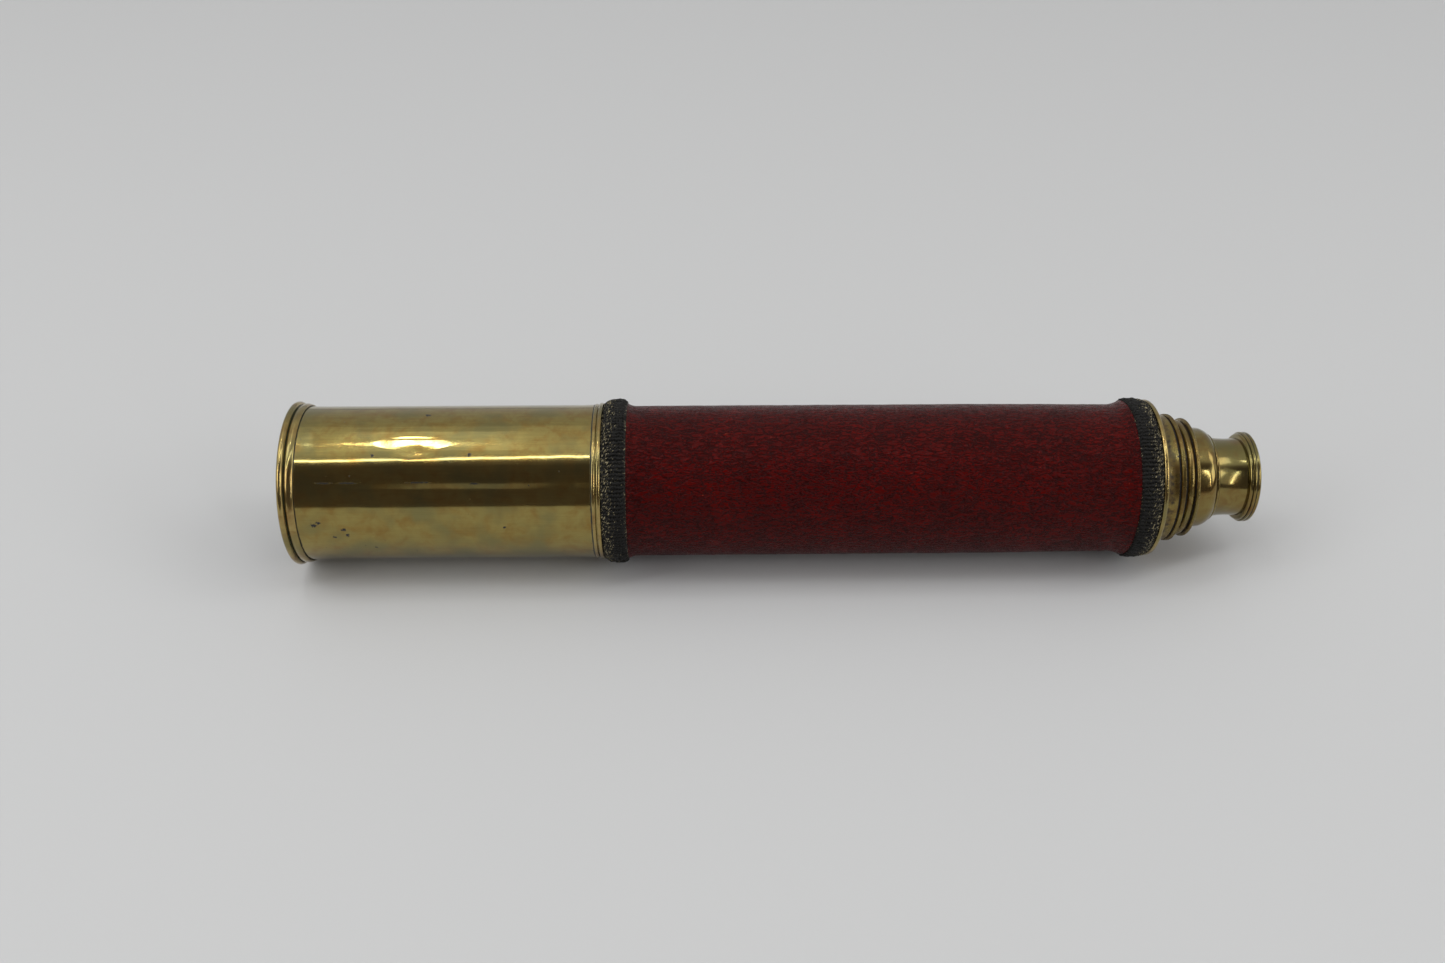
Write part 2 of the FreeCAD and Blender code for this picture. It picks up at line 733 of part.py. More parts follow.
eye_cell_pocket = eyepiece_bore - eye_cell_wall
eye_lens_rim = eye_cell_pocket - lens_clearance
eye_cell_aperture = eye_cell_pocket - lens_ring_width
x_eye_cell = x_eyepiece_end - eye_lens_cell_length
x_eye_seat = x_eye_cell + eye_cell_floor
x_eye_lens = x_eye_seat + seat_depth(eye_lens_radius, eye_lens_rim, eye_cell_aperture)
eye_lens_edge = eye_lens_thickness - bulge(eye_lens_radius, eye_lens_rim)


def eye_lens_cell():
    """Turned plug that centres the small eye lens in the eyepiece tube."""
    outline = Outline(x_eye_cell, eye_cell_aperture)
    outline.to(x_eye_cell, eyepiece_bore - solder_gap)
    outline.to(x_eyepiece_end, eyepiece_bore - solder_gap)
    outline.to(x_eyepiece_end, eye_cell_pocket)
    outline.to(x_eye_seat, eye_cell_pocket)
    outline.to(x_eye_seat, eye_cell_aperture)
    return outline.spin()


def eye_lens():
    """Plano-convex eye lens, flat towards the eye."""
    return lens(x_eye_lens, eye_lens_edge, eye_lens_rim, eye_lens_radius, None)


def eye_lens_ring():
    """Screwed ring that holds the eye lens in its cell."""
    x_start = x_eye_lens + eye_lens_edge + solder_gap
    r_out = eye_cell_pocket - solder_gap
    return ring(x_start, x_start + lens_ring_length, r_out - lens_ring_width, r_out)


# ---------------------------------------------------------------- erector in the third draw
x_erector = draw_front[2] + stop_ring_lip + 2 * solder_gap
x_erector_end = x_erector + erector_length
erector_radius = erector_dia / 2
erector_bore = erector_radius - erector_wall
erector_lens_rim = erector_bore - lens_clearance
erector_lens_edge = erector_lens_thickness - bulge(erector_lens_radius, erector_lens_rim)


def erector_tube():
    """Inner tube of the image-erecting lenses, flanged to fit the third draw's front end."""
    outline = Outline(x_erector, erector_bore)
    outline.to(x_erector, draw_bore[2] - solder_gap)
    outline.to(x_erector + erector_flange, draw_bore[2] - solder_gap)
    outline.to(x_erector + erector_flange, erector_radius)
    outline.to(x_erector_end, erector_radius)
    outline.to(x_erector_end, erector_bore)
    return outline.spin()


x_erector_front_lens = x_erector + lens_ring_length + edge_break
x_erector_rear_lens = x_erector_end - lens_ring_length - edge_break - erector_lens_edge


def erector_front_lens():
    """First erecting lens, its round face to the rear."""
    return lens(
        x_erector_front_lens, erector_lens_edge, erector_lens_rim, None, erector_lens_radius
    )


def erector_rear_lens():
    """Second erecting lens, its round face to the front."""
    return lens(
        x_erector_rear_lens, erector_lens_edge, erector_lens_rim, erector_lens_radius, None
    )


def erector_lens_rings():
    """The two screwed rings that hold the erecting lenses at the tube's ends."""
    r_out = erector_bore - solder_gap
    r_in = r_out - lens_ring_width
    x_rear = x_erector_rear_lens + erector_lens_edge + solder_gap
    front = ring(x_erector + edge_break - solder_gap, x_erector_front_lens - solder_gap, r_in, r_out)
    rear = ring(x_rear, x_rear + lens_ring_length, r_in, r_out)
    return Part.makeCompound([front, rear])


def erector_stop():
    """Small stop between the erecting lenses."""
    x_middle = (x_erector + x_erector_end) / 2
    r_out = erector_bore - solder_gap
    return ring(x_middle, x_middle + stop_thickness, erector_stop_dia / 2, r_out)


# ---------------------------------------------------------------- all the nodes
os.makedirs("parts", exist_ok=True)
nodes = {
    "shade_front_rim": shade_front_rim(),
    "shade_tube": shade_tube(),
    "shade_rear_bead": shade_rear_bead(),
    "barrel_tube": barrel_tube(),
    "front_ferrule": front_ferrule(),
    "front_cord_collar": cord_collar(
        x_front_collar, x_leather, front_collar_edge, front_collar_height
    ),
    "leather_cover": leather_cover(),
    "rear_cord_collar": cord_collar(
        x_end_plate, x_rear_collar, rear_collar_edge, rear_collar_height
    ),
    "rear_ferrule": rear_ferrule(),
    "barrel_end_cap": end_cap(),
    "barrel_sleeve": sleeve(sleeve_rear[0], 0, 0.0),
    "objective_cell": objective_cell(),
    "objective_ring": objective_ring(),
    "objective_crown": objective_crown(),
    "objective_flint": objective_flint(),
    "draw_1_collar": draw_1_collar(),
    "draw_1_sleeve": sleeve(sleeve_rear[1], 1, draw_bore[0] - solder_gap),
    "draw_2_collar": draw_2_collar(),
    "draw_2_sleeve": sleeve(sleeve_rear[2], 2, draw_bore[1] - solder_gap),
    "eyepiece_collar": eyepiece_collar(),
    "eyepiece_neck": eyepiece_neck(),
    "eye_cup": eye_cup(),
    "eyepiece_tube": eyepiece_tube(),
    "field_lens": field_lens(),
    "field_lens_rings": field_lens_rings(),
    "field_stop": field_stop(),
    "eye_lens_cell": eye_lens_cell(),
    "eye_lens": eye_lens(),
    "eye_lens_ring": eye_lens_ring(),
    "erector_tube": erector_tube(),
    "erector_front_lens": erector_front_lens(),
    "erector_rear_lens": erector_rear_lens(),
    "erector_lens_rings": erector_lens_rings(),
    "erector_stop": erector_stop(),
}
for draw in range(3):
    nodes[f"draw_{draw + 1}_tube"] = draw_tube(draw)
    nodes[f"draw_{draw + 1}_stop_ring"] = stop_ring(draw)
for name, shape in nodes.items():
    export(name, shape)

print(f"overall length {overall_length:.2f}, axis height {axis_height:.2f}")
print(f"mouth at x {x_mouth:.3f}, eye face at x {x_eye_face:.3f}, cup floor at x {x_cup_floor:.3f}")
print(f"leather from x {x_leather:.3f} to x {x_rear_collar:.3f}, eye rim from x {x_eye_rim:.3f}")
print(f"shade travel {x_shade_end - x_barrel - shade_overlap:.2f}")
for draw in range(3):
    print(f"draw {draw + 1}: radius {draw_radius[draw]:.2f}, travel {travel(draw):.2f}")
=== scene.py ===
"""A hand telescope lying closed: brass ray shade, leather-covered barrel, cord collars and draws."""

import cmath
import json
import math

import bmesh
import bpy
import numpy as np
from mathutils import Matrix, Vector, noise


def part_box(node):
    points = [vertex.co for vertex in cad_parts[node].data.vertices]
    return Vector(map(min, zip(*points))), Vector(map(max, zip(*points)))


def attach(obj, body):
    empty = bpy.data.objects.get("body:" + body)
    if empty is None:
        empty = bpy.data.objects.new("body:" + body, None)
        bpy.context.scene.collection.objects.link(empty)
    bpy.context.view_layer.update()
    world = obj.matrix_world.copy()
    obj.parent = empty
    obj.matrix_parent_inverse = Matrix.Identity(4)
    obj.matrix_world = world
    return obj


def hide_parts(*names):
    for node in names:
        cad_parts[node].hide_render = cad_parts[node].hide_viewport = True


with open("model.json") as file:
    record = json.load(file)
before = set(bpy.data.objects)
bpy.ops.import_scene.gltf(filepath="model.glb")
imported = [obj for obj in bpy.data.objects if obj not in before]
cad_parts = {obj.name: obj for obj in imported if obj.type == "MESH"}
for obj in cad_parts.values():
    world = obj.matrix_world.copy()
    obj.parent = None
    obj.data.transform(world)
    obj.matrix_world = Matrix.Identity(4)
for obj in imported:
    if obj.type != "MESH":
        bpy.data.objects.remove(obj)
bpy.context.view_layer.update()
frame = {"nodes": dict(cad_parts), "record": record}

# ---------------------------------------------------------------- camera
# A camera on a stand in front of the telescope, a little above it, turned a degree off square.
MM = 0.001
tube_low, tube_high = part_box("barrel_tube")
axis_height = (tube_low.z + tube_high.z) / 2
view_elevation = math.radians(36.5)
view_yaw = math.radians(1.0)
view_roll = math.radians(0.39)
view_distance = 549.4 * MM
aim = Vector((-19.95 * MM, 0, axis_height))
aim_drop = 0.57 * MM  # the middle of the view lies this far under the axis

forward = Vector((
    math.sin(view_yaw),
    math.cos(view_yaw) * math.cos(view_elevation),
    -math.cos(view_yaw) * math.sin(view_elevation),
))
level_right = (Vector((1, 0, 0)) - forward * forward.x).normalized()
level_up = level_right.cross(forward)
right = level_right * math.cos(view_roll) - level_up * math.sin(view_roll)
up = level_right * math.sin(view_roll) + level_up * math.cos(view_roll)

frame_width = 36.0  # of the camera's picture, in millimetres
lens_share = 1440 / 1445  # the lens's focal length as a share of that width
camera_data = bpy.data.cameras.new("camera")
camera_data.sensor_width = frame_width
camera_data.lens = frame_width * lens_share
camera = bpy.data.objects.new("camera", camera_data)
camera.matrix_world = Matrix.Translation(aim - forward * view_distance - up * aim_drop) @ Matrix(
    (right, up, -forward)
).transposed().to_4x4()
bpy.context.scene.collection.objects.link(camera)
bpy.context.scene.camera = camera
bpy.context.scene.view_settings.view_transform = "Standard"


# ---------------------------------------------------------------- table
# A wide table in matt pale laminate, which the telescope lies on.
def linear(hex_colour):
    """An sRGB hex colour as linear red, green, blue and alpha."""
    parts = [int(hex_colour[i:i + 2], 16) / 255 for i in (1, 3, 5)]
    return [c / 12.92 if c <= 0.04045 else ((c + 0.055) / 1.055) ** 2.4 for c in parts] + [1]


def add(tree, kind, inputs=None, **settings):
    """Adds a node with its settings. An input is given a value, or linked to the socket given."""
    node = tree.nodes.new(kind)
    for name, value in settings.items():
        setattr(node, name, value)
    for name, value in (inputs or {}).items():
        if isinstance(value, bpy.types.NodeSocket):
            tree.links.new(value, node.inputs[name])
        else:
            node.inputs[name].default_value = value
    return node


def new_material(name):
    """An empty node material, its tree and its output."""
    material = bpy.data.materials.new(name)
    material.use_nodes = True
    material.node_tree.nodes.clear()
    return material, material.node_tree, add(material.node_tree, "ShaderNodeOutputMaterial")


laminate, tree, output = new_material("pale_laminate")
shader = add(tree, "ShaderNodeBsdfPrincipled", {
    "Base Color": linear("#CFD0D0"), "Roughness": 0.6, "Specular IOR Level": 0.2,
})
tree.links.new(shader.outputs["BSDF"], output.inputs["Surface"])

table_half = 4.0
table_mesh = bpy.data.meshes.new("table")
table_mesh.from_pydata(
    [(-table_half, -table_half, 0), (table_half, -table_half, 0),
     (table_half, table_half, 0), (-table_half, table_half, 0)], [], [(0, 1, 2, 3)],
)
table_mesh.materials.append(laminate)
table = bpy.data.objects.new("table", table_mesh)
bpy.context.scene.collection.objects.link(table)

# ---------------------------------------------------------------- room light
# An evenly lit ceiling and pale walls behind, a darker room in front, and the lamps that brass shows.
world = bpy.data.worlds.new("room")
world.use_nodes = True
bpy.context.scene.world = world
tree = world.node_tree
tree.nodes.clear()
direction = add(tree, "ShaderNodeSeparateXYZ", {
    "Vector": add(tree, "ShaderNodeTexCoord").outputs["Generated"],
})
to_front = add(tree, "ShaderNodeMath", {0: direction.outputs["Y"], 1: -1.0}, operation="MULTIPLY")
height_angle = add(tree, "ShaderNodeMath", {
    0: direction.outputs["Z"], 1: to_front.outputs[0],
}, operation="ARCTAN2")
share = add(tree, "ShaderNodeMath", {0: height_angle.outputs[0], 1: math.pi}, operation="DIVIDE")
room = add(tree, "ShaderNodeValToRGB", {"Fac": share.outputs[0]})
# each band of the room: where it starts, in degrees up from the front, and how bright it is
room_bands = [
    (0, 0.12), (40, 0.10), (60, 0.11), (67, 0.24), (73, 0.72),
    (84, 0.78), (98, 0.72), (115, 0.60), (135, 0.52), (180, 0.46),
]
wood_top = 70  # degrees up from the front, where the room's dark brown wood ends
while len(room.color_ramp.elements) < len(room_bands):
    room.color_ramp.elements.new(1.0)
for element, (degrees, brightness) in zip(room.color_ramp.elements, room_bands):
    element.position = degrees / 180
    warmth = 0.86 if degrees < wood_top else 1.0
    element.color = (brightness, brightness * warmth, brightness * warmth, 1)
lit = add(tree, "ShaderNodeBackground", {"Color": room.outputs["Color"], "Strength": 1.0})
seen = add(tree, "ShaderNodeBackground", {"Color": linear("#C9CACB"), "Strength": 1.0})
ray = add(tree, "ShaderNodeLightPath")
sky = add(tree, "ShaderNodeMixShader", {
    0: ray.outputs["Is Camera Ray"], 1: lit.outputs[0], 2: seen.outputs[0],
})
add(tree, "ShaderNodeOutputWorld", {"Surface": sky.outputs[0]})

# each lamp: its name, place, what it points at along X, width, height and brightness
lamps = [
    ("tube_lamp", (-0.69, -0.78, 2.0), -0.69, 3.20, 0.070, 11.0),
    ("wide_glow", (-0.47, 0.42, 2.0), -0.47, 0.60, 1.9, 0.15),
    ("ceiling_glow", (-0.50, 0.35, 2.0), -0.50, 0.30, 1.2, 0.50),
    ("ceiling_lamp", (-0.53, 0.15, 1.98), -0.53, 0.065, 0.10, 42.0),
    ("left_panel", (-1.5, -0.1, 2.0), -0.2, 0.8, 1.2, 2.0),
    ("right_panel", (1.9, -0.1, 2.0), 0.2, 0.8, 1.2, 2.0),
    ("left_window", (-1.9, -1.0, 1.1), -0.2, 1.1, 1.1, 2.7),
    ("right_window", (2.1, -1.0, 1.1), 0.2, 1.1, 1.1, 2.6),
    ("door_light", (1.03, -1.52, 1.03), 0.16, 0.05, 1.25, 16.0),
    ("far_window", (-0.42, -1.70, 1.02), -0.12, 0.22, 0.24, 0.26),
    ("side_wall", (1.50, -1.35, 1.1), 0.16, 0.9, 1.5, 0.45),
]
for name, place, aim_x, wide, tall, brightness in lamps:
    light = bpy.data.lights.new(name, "AREA")
    light.shape = "RECTANGLE"
    light.size, light.size_y = wide, tall
    light.energy = brightness * math.pi * wide * tall
    lamp = bpy.data.objects.new(name, light)
    lamp.location = place
    lamp.rotation_euler = (Vector((aim_x, 0, 0)) - lamp.location).to_track_quat("-Z", "Y").to_euler()
    bpy.context.scene.collection.objects.link(lamp)
tube_turn = math.radians(20)  # the tube hangs askew to the telescope
bpy.data.objects["tube_lamp"].rotation_euler.rotate_axis("Z", tube_turn)


# ---------------------------------------------------------------- ray shade
# Sheet brass rolled to a tube, brazed along a seam and polished, now stained, pitted and dented.
# It slides on the barrel. Both ends carry turned rings, soldered on.
def old_brass(name, tones, roughness, blotch, marks_along, dirt_and_mark_tone="#2B2A17", spots=(), wax=0.35):
    """Old polished brass. tones are its clean, brown and green colours, blotch the stains' size in
    millimetres, and marks_along how many times longer than wide its rubbing marks are along X. Each
    spot has a place, a length along X and a width; some spots are eaten pits and some are painted
    reflection, dark marks in the dark tone. wax is how much film lies on it."""
    material, tree, output = new_material(name)
    place = add(tree, "ShaderNodeTexCoord").outputs["Object"]
    stains = add(tree, "ShaderNodeTexNoise", {
        "Vector": place, "Scale": 1 / (blotch * MM), "Detail": 5.0, "Roughness": 0.6,
        "Distortion": 0.4,
    })
    cloud = add(tree, "ShaderNodeTexNoise", {
        "Vector": place, "Scale": 0.4 / (blotch * MM), "Detail": 3.0, "Roughness": 0.5,
    })
    brown = add(tree, "ShaderNodeMapRange", {
        "Value": stains.outputs["Fac"], "From Min": 0.35, "From Max": 0.75,
    }, interpolation_type="SMOOTHSTEP")
    green = add(tree, "ShaderNodeMapRange", {
        "Value": cloud.outputs["Fac"], "From Min": 0.42, "From Max": 0.68,
    }, interpolation_type="SMOOTHSTEP")
    clean_brown = add(tree, "ShaderNodeMix", {
        0: brown.outputs[0], 6: linear(tones[0]), 7: linear(tones[1]),
    }, data_type="RGBA")
    toned = add(tree, "ShaderNodeMix", {
        0: green.outputs[0], 6: clean_brown.outputs[2], 7: linear(tones[2]),
    }, data_type="RGBA")

    # small black pits, in the few cells of 3.6 mm whose random number is high enough
    pit_cells = add(tree, "ShaderNodeTexVoronoi", {
        "Vector": place, "Scale": 1 / (3.6 * MM), "Randomness": 1.0,
    }, feature="F1")
    pit_size = add(tree, "ShaderNodeSeparateColor", {"Color": pit_cells.outputs["Color"]})
    pit_reach = add(tree, "ShaderNodeMapRange", {
        "Value": pit_size.outputs[0], "From Min": 0.5, "From Max": 1.0, "To Min": 0.0, "To Max": 0.11,
    })
    pit_gap = add(tree, "ShaderNodeMath", {
        0: pit_reach.outputs[0], 1: pit_cells.outputs["Distance"],
    }, operation="SUBTRACT")
    pits = add(tree, "ShaderNodeMapRange", {
        "Value": pit_gap.outputs[0], "From Min": 0.0, "From Max": 0.03,
    })

    ragged = add(tree, "ShaderNodeTexNoise", {"Vector": place, "Scale": 1 / (0.5 * MM), "Detail": 3.0})
    # the spots darken the colour like the pits: eaten pits, and dark marks that are painted reflection
    pits_and_painted_marks = pits
    for (spot_x, spot_y, spot_z), long, wide in spots:
        away = add(tree, "ShaderNodeVectorMath", {
            0: place, 1: (spot_x, spot_y, spot_z),
        }, operation="SUBTRACT")
        shape = add(tree, "ShaderNodeVectorMath", {
            0: away.outputs[0], 1: (1 / long, 1 / wide, 1 / wide),
        }, operation="MULTIPLY")
        distance = add(tree, "ShaderNodeVectorMath", {0: shape.outputs[0]}, operation="LENGTH")
        rough_edge = add(tree, "ShaderNodeMath", {
            0: ragged.outputs["Fac"], 1: 2.6, 2: distance.outputs["Value"],
        }, operation="MULTIPLY_ADD")
        spot = add(tree, "ShaderNodeMapRange", {
            "Value": rough_edge.outputs[0], "From Min": 2.0, "From Max": 2.3, "To Min": 1.0, "To Max": 0.0,
        })
        pits_and_painted_marks = add(tree, "ShaderNodeMath", {0: pits_and_painted_marks.outputs[0], 1: spot.outputs[0]}, operation="MAXIMUM")

    # dirt and verdigris stay in the hollows, where polishing doesn't reach
    hollow = add(tree, "ShaderNodeAttribute", attribute_name="hollow")
    dirt_edge = add(tree, "ShaderNodeTexNoise", {"Vector": place, "Scale": 1 / (1.6 * MM), "Detail": 4.0})
    dirt_sum = add(tree, "ShaderNodeMath", {
        0: hollow.outputs["Fac"], 1: dirt_edge.outputs["Fac"],
    }, operation="ADD")
    hollow_dirt = add(tree, "ShaderNodeMapRange", {
        "Value": dirt_sum.outputs[0], "From Min": 0.85, "From Max": 1.25,
    })
    # the dark tone goes on dirt in the hollows, on the pits, and on the spots of painted reflection
    dirt_pits_and_painted_marks = add(tree, "ShaderNodeMath", {
        0: hollow_dirt.outputs[0], 1: pits_and_painted_marks.outputs[0],
    }, operation="MAXIMUM")
    coloured = add(tree, "ShaderNodeMix", {
        0: dirt_pits_and_painted_marks.outputs[0], 6: toned.outputs[2], 7: linear(dirt_and_mark_tone),
    }, data_type="RGBA")

    # rubbing marks, finer than they show, drawn as wide as they need to be to show
    stretched = add(tree, "ShaderNodeMapping", {
        "Vector": place, "Scale": (1 / (marks_along * 0.3 * MM), 1 / (0.3 * MM), 1 / (0.3 * MM)),
    })
    marks = add(tree, "ShaderNodeTexNoise", {
        "Vector": stretched.outputs[0], "Scale": 1.0, "Detail": 3.0,
    })
    marked = add(tree, "ShaderNodeMapRange", {
        "Value": marks.outputs["Fac"], "From Min": 0.3, "From Max": 0.7, "To Min": 0.93, "To Max": 1.06,
    })
    streaked = add(tree, "ShaderNodeVectorMath", {
        0: coloured.outputs[2], "Scale": marked.outputs[0],
    }, operation="SCALE")
    dull = add(tree, "ShaderNodeMapRange", {
        "Value": stains.outputs["Fac"], "From Min": 0.3, "From Max": 0.75,
        "To Min": roughness * 0.8, "To Max": roughness * 1.6,
    })
    scuffed = add(tree, "ShaderNodeMath", {
        0: marks.outputs["Fac"], 1: 0.04, 2: dull.outputs[0],
    }, operation="MULTIPLY_ADD")
    rough = add(tree, "ShaderNodeMath", {
        0: dirt_pits_and_painted_marks.outputs[0], 1: 0.45, 2: scuffed.outputs[0],
    }, operation="MULTIPLY_ADD")
    metallic = add(tree, "ShaderNodeMapRange", {
        "Value": dirt_pits_and_painted_marks.outputs[0], "To Min": 1.0, "To Max": 0.1,
    })
    relief = add(tree, "ShaderNodeBump", {
        "Height": marks.outputs["Fac"], "Strength": 0.06, "Distance": 0.02 * MM,
    })
    # little dimples of about 0.6 mm, where a dent was knocked back
    dimples = add(tree, "ShaderNodeTexNoise", {
        "Vector": place, "Scale": 1 / (0.6 * MM), "Detail": 2.0,
    })
    dimpled = add(tree, "ShaderNodeAttribute", attribute_name="dimpled")
    dimple_height = add(tree, "ShaderNodeMath", {
        0: dimples.outputs["Fac"], 1: dimpled.outputs["Fac"],
    }, operation="MULTIPLY")
    worked = add(tree, "ShaderNodeBump", {
        "Height": dimple_height.outputs[0], "Normal": relief.outputs[0], "Strength": 1.0,
        "Distance": 0.06 * MM,
    })
    shader = add(tree, "ShaderNodeBsdfPrincipled", {
        "Base Color": streaked.outputs[0], "Metallic": metallic.outputs[0],
        "Roughness": rough.outputs[0], "Normal": worked.outputs[0],
        "Coat Weight": wax, "Coat Roughness": 0.06,
    })
    tree.links.new(shader.outputs["BSDF"], output.inputs["Surface"])
    return material


def arc(start, middle, end, steps=10):
    """Points of the round stretch of outline from start through middle to end."""
    a, b, c = (complex(*point) for point in (start, middle, end))
    lean = (c - a) / (b - a)
    centre = a + (b - a) * (lean - abs(lean) ** 2) / (lean - lean.conjugate())
    sweep = cmath.phase((b - centre) / (a - centre)) + cmath.phase((c - centre) / (b - centre))
    points = [centre + (a - centre) * cmath.exp(1j * sweep * i / steps) for i in range(steps + 1)]
    return [(point.real, point.imag) for point in points]


corner_turn = math.radians(25)  # an outline that turns more than this has a corner there


def eased(outline, radius):
    """The closed outline with its sharp corners rounded off, and which of its corners are hollow."""
    points, hollows = [], []
    count = len(outline)
    for i in range(count):
        before, here, after = (Vector(outline[(i + k) % count]) for k in (-1, 0, 1))
        inward, onward = here - before, after - here
        turn = inward.angle_signed(onward, 0)
        if turn < -corner_turn:  # angle_signed counts clockwise as positive
            hollows.append(here)
        if abs(turn) < corner_turn:
            points.append(here)
            continue
        cut = min(radius, 0.35 * inward.length, 0.35 * onward.length)
        start = here - inward.normalized() * cut
        end = here + onward.normalized() * cut
        points += [start, (start + here * 2 + end) / 4, end]
    return points, hollows


grime_reach = 0.35  # how far dirt spreads from a corner, in millimetres
bore_step = 8.0  # a bore needs few rows


def turned(name, outline, around=288, ease=0.12, row_step=6.0, grimy=()):
    """A solid turned about the telescope's axis from a closed outline, in millimetres. The outline
    runs along its outside towards +X first. Dirt gathers in its corners and at the grimy points."""
    corners, hollows = eased(outline, ease)
    hollows += [Vector(point) for point in grimy]
    rows = []
    for here, after in zip(corners, corners[1:] + corners[:1]):
        length = (after - here).length
        rows.append(here)
        if length > 3:
            near_ends = [0.4, 1.2, length - 1.2, length - 0.4]
            step = row_step if after.x > here.x else bore_step
            between = np.linspace(1.2, length - 1.2, max(2, round(length / step)) + 1)[1:-1]
            places = sorted(near_ends + list(between))
            rows += [here + (after - here) * (place / length) for place in places]
    mesh = bpy.data.meshes.new(name)
    builder = bmesh.new()
    hollow_layer = builder.verts.layers.float.new("hollow")
    grid = []
    for point in rows:
        gap = min([(point - hollow).length for hollow in hollows], default=9)
        ring = []
        for i in range(around):
            angle = 2 * math.pi * i / around
            vert = builder.verts.new((
                point.x * MM,
                -point.y * math.cos(angle) * MM,
                point.y * math.sin(angle) * MM + axis_height,
            ))
            vert[hollow_layer] = math.exp(-(gap / grime_reach) ** 2)
            ring.append(vert)
        grid.append(ring)
    for ring, next_ring in zip(grid, grid[1:] + grid[:1]):
        for i in range(around):
            k = (i + 1) % around
            builder.faces.new((ring[i], next_ring[i], next_ring[k], ring[k]))
    bmesh.ops.recalc_face_normals(builder, faces=builder.faces)
    builder.to_mesh(mesh)
    builder.free()
    mesh.shade_smooth()
    mesh.set_sharp_from_angle(angle=math.radians(35))
    piece = bpy.data.objects.new(name, mesh)
    bpy.context.scene.collection.objects.link(piece)
    return piece


def reshape(piece, shift):
    """Moves each point of a turned piece out from the axis by shift(x, angle, r), in millimetres.
    The angle is taken up from the front."""
    for vert in piece.data.vertices:
        x = vert.co.x / MM
        side, height = -vert.co.y / MM, (vert.co.z - axis_height) / MM
        r = math.hypot(side, height)
        moved = (r + shift(x, math.atan2(height, side), r)) / r
        vert.co.y *= moved
        vert.co.z = axis_height + height * moved * MM


def fit(piece, material, body, slot, *nodes):
    """Gives a piece its material, its body and the CAD nodes that it stands for."""
    piece.data.materials.clear()
    piece.data.materials.append(material)
    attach(piece, body)
    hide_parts(*nodes)


def ends_and_radius(node):
    """A turned node's two ends along the axis and its outer radius, in millimetres."""
    low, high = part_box(node)
    return low.x / MM, high.x / MM, (high.z - low.z) / 2 / MM


solder_gap = 0.02  # between two pieces that are soldered or screwed together
edge_break = 0.3
shade_start, shade_end = ends_and_radius("shade_tube")[:2]
shade_radius = 29.0
shade_bore = 27.9
shade_seat = 0.5  # depth of the rabbet for the rear bead
bead_start, bead_end, bead_radius = ends_and_radius("shade_rear_bead")
rim_start, rim_end, rim_radius = ends_and_radius("shade_front_rim")

# the black spots on the shade: how far from its mouth, angle up from the front, length, width.
# Most are eaten pits; the four long thin ones at about 36 degrees up are painted reflection,
# dark streaks where the tube faces the camera.
pits_and_reflection_marks = [
    (7.9, 4, 1.2, 0.9), (9.9, 6, 1.0, 0.6), (18.6, 0, 1.0, 0.7), (19.7, -5, 0.7, 1.0),
    (14.9, -7, 0.8, 0.6), (28.9, -19, 0.7, 0.5), (48.0, 95, 1.2, 0.8), (76.9, 1, 0.7, 0.5),
    (12.9, 36, 3.4, 0.4), (20.9, 36, 4.2, 0.4), (46.5, 36, 5.0, 0.35), (66.9, 35, 2.2, 0.35),
    (29.9, 56, 0.7, 0.6), (64.9, 56, 0.7, 0.6),
]
shade_pits_and_reflections = []
for from_mouth, degrees, long, wide in pits_and_reflection_marks:
    angle = math.radians(degrees)
    shade_pits_and_reflections.append((
        ((shade_start + from_mouth) * MM, -shade_radius * math.cos(angle) * MM,
         axis_height + shade_radius * math.sin(angle) * MM), long * MM, wide * MM,
    ))
shade_brass = old_brass(
    "stained_polished_brass", ("#9A8A4D", "#8F7236", "#847B4A"), 0.07, 5.5, 40, "#100D0A", shade_pits_and_reflections,
)
ring_brass = old_brass(
    "turned_ring_brass", ("#A8945A", "#8A6A3A", "#84794A"), 0.14, 5.0, 1.0, "#1E2C1C",
)

rim_joint = [(rim_end + gap, shade_radius) for gap in (-0.5, 0.0, 0.3, 0.7)]
bead_joint = [(bead_start - gap, shade_radius) for gap in (0.7, 0.3)]
shade = turned("shade_sheet", [
    (shade_start, shade_bore), (shade_start, shade_radius),
] + rim_joint + bead_joint + [
    (bead_start, shade_radius), (bead_start, shade_radius - shade_seat),
    (shade_end, shade_radius - shade_seat), (shade_end, shade_bore),
], around=360, ease=0.05, row_step=0.8, grimy=[(rim_end, shade_radius), (bead_start, shade_radius)])

# The sheet isn't quite round any more. It waves a little, the brazed seam shows as a fine groove,
# and the edge of a table has left one dent, with the metal above it knocked flat.
seam_angle = math.radians(70)
dent_x, dent_angle = shade_start + 45.0, math.radians(58.5)
flat_x, flat_angle = shade_start + 44.5, math.radians(65.5)
dent_depth, flat_depth, flat_length = 0.26, 0.16, 11
seam_depth, seam_half_width = 0.035, 0.22
wave_size, ripple_size = 0.06, 0.017
wear_margin = 0.07  # keeps the waves inside the tube's own radius


def near(x, angle, centre_x, centre_angle, long, wide):
    """How near a point of the shade is to a spot, from 1 at the spot to 0."""
    return math.exp(-((x - centre_x) / long) ** 2 - ((angle - centre_angle) * shade_radius / wide) ** 2)


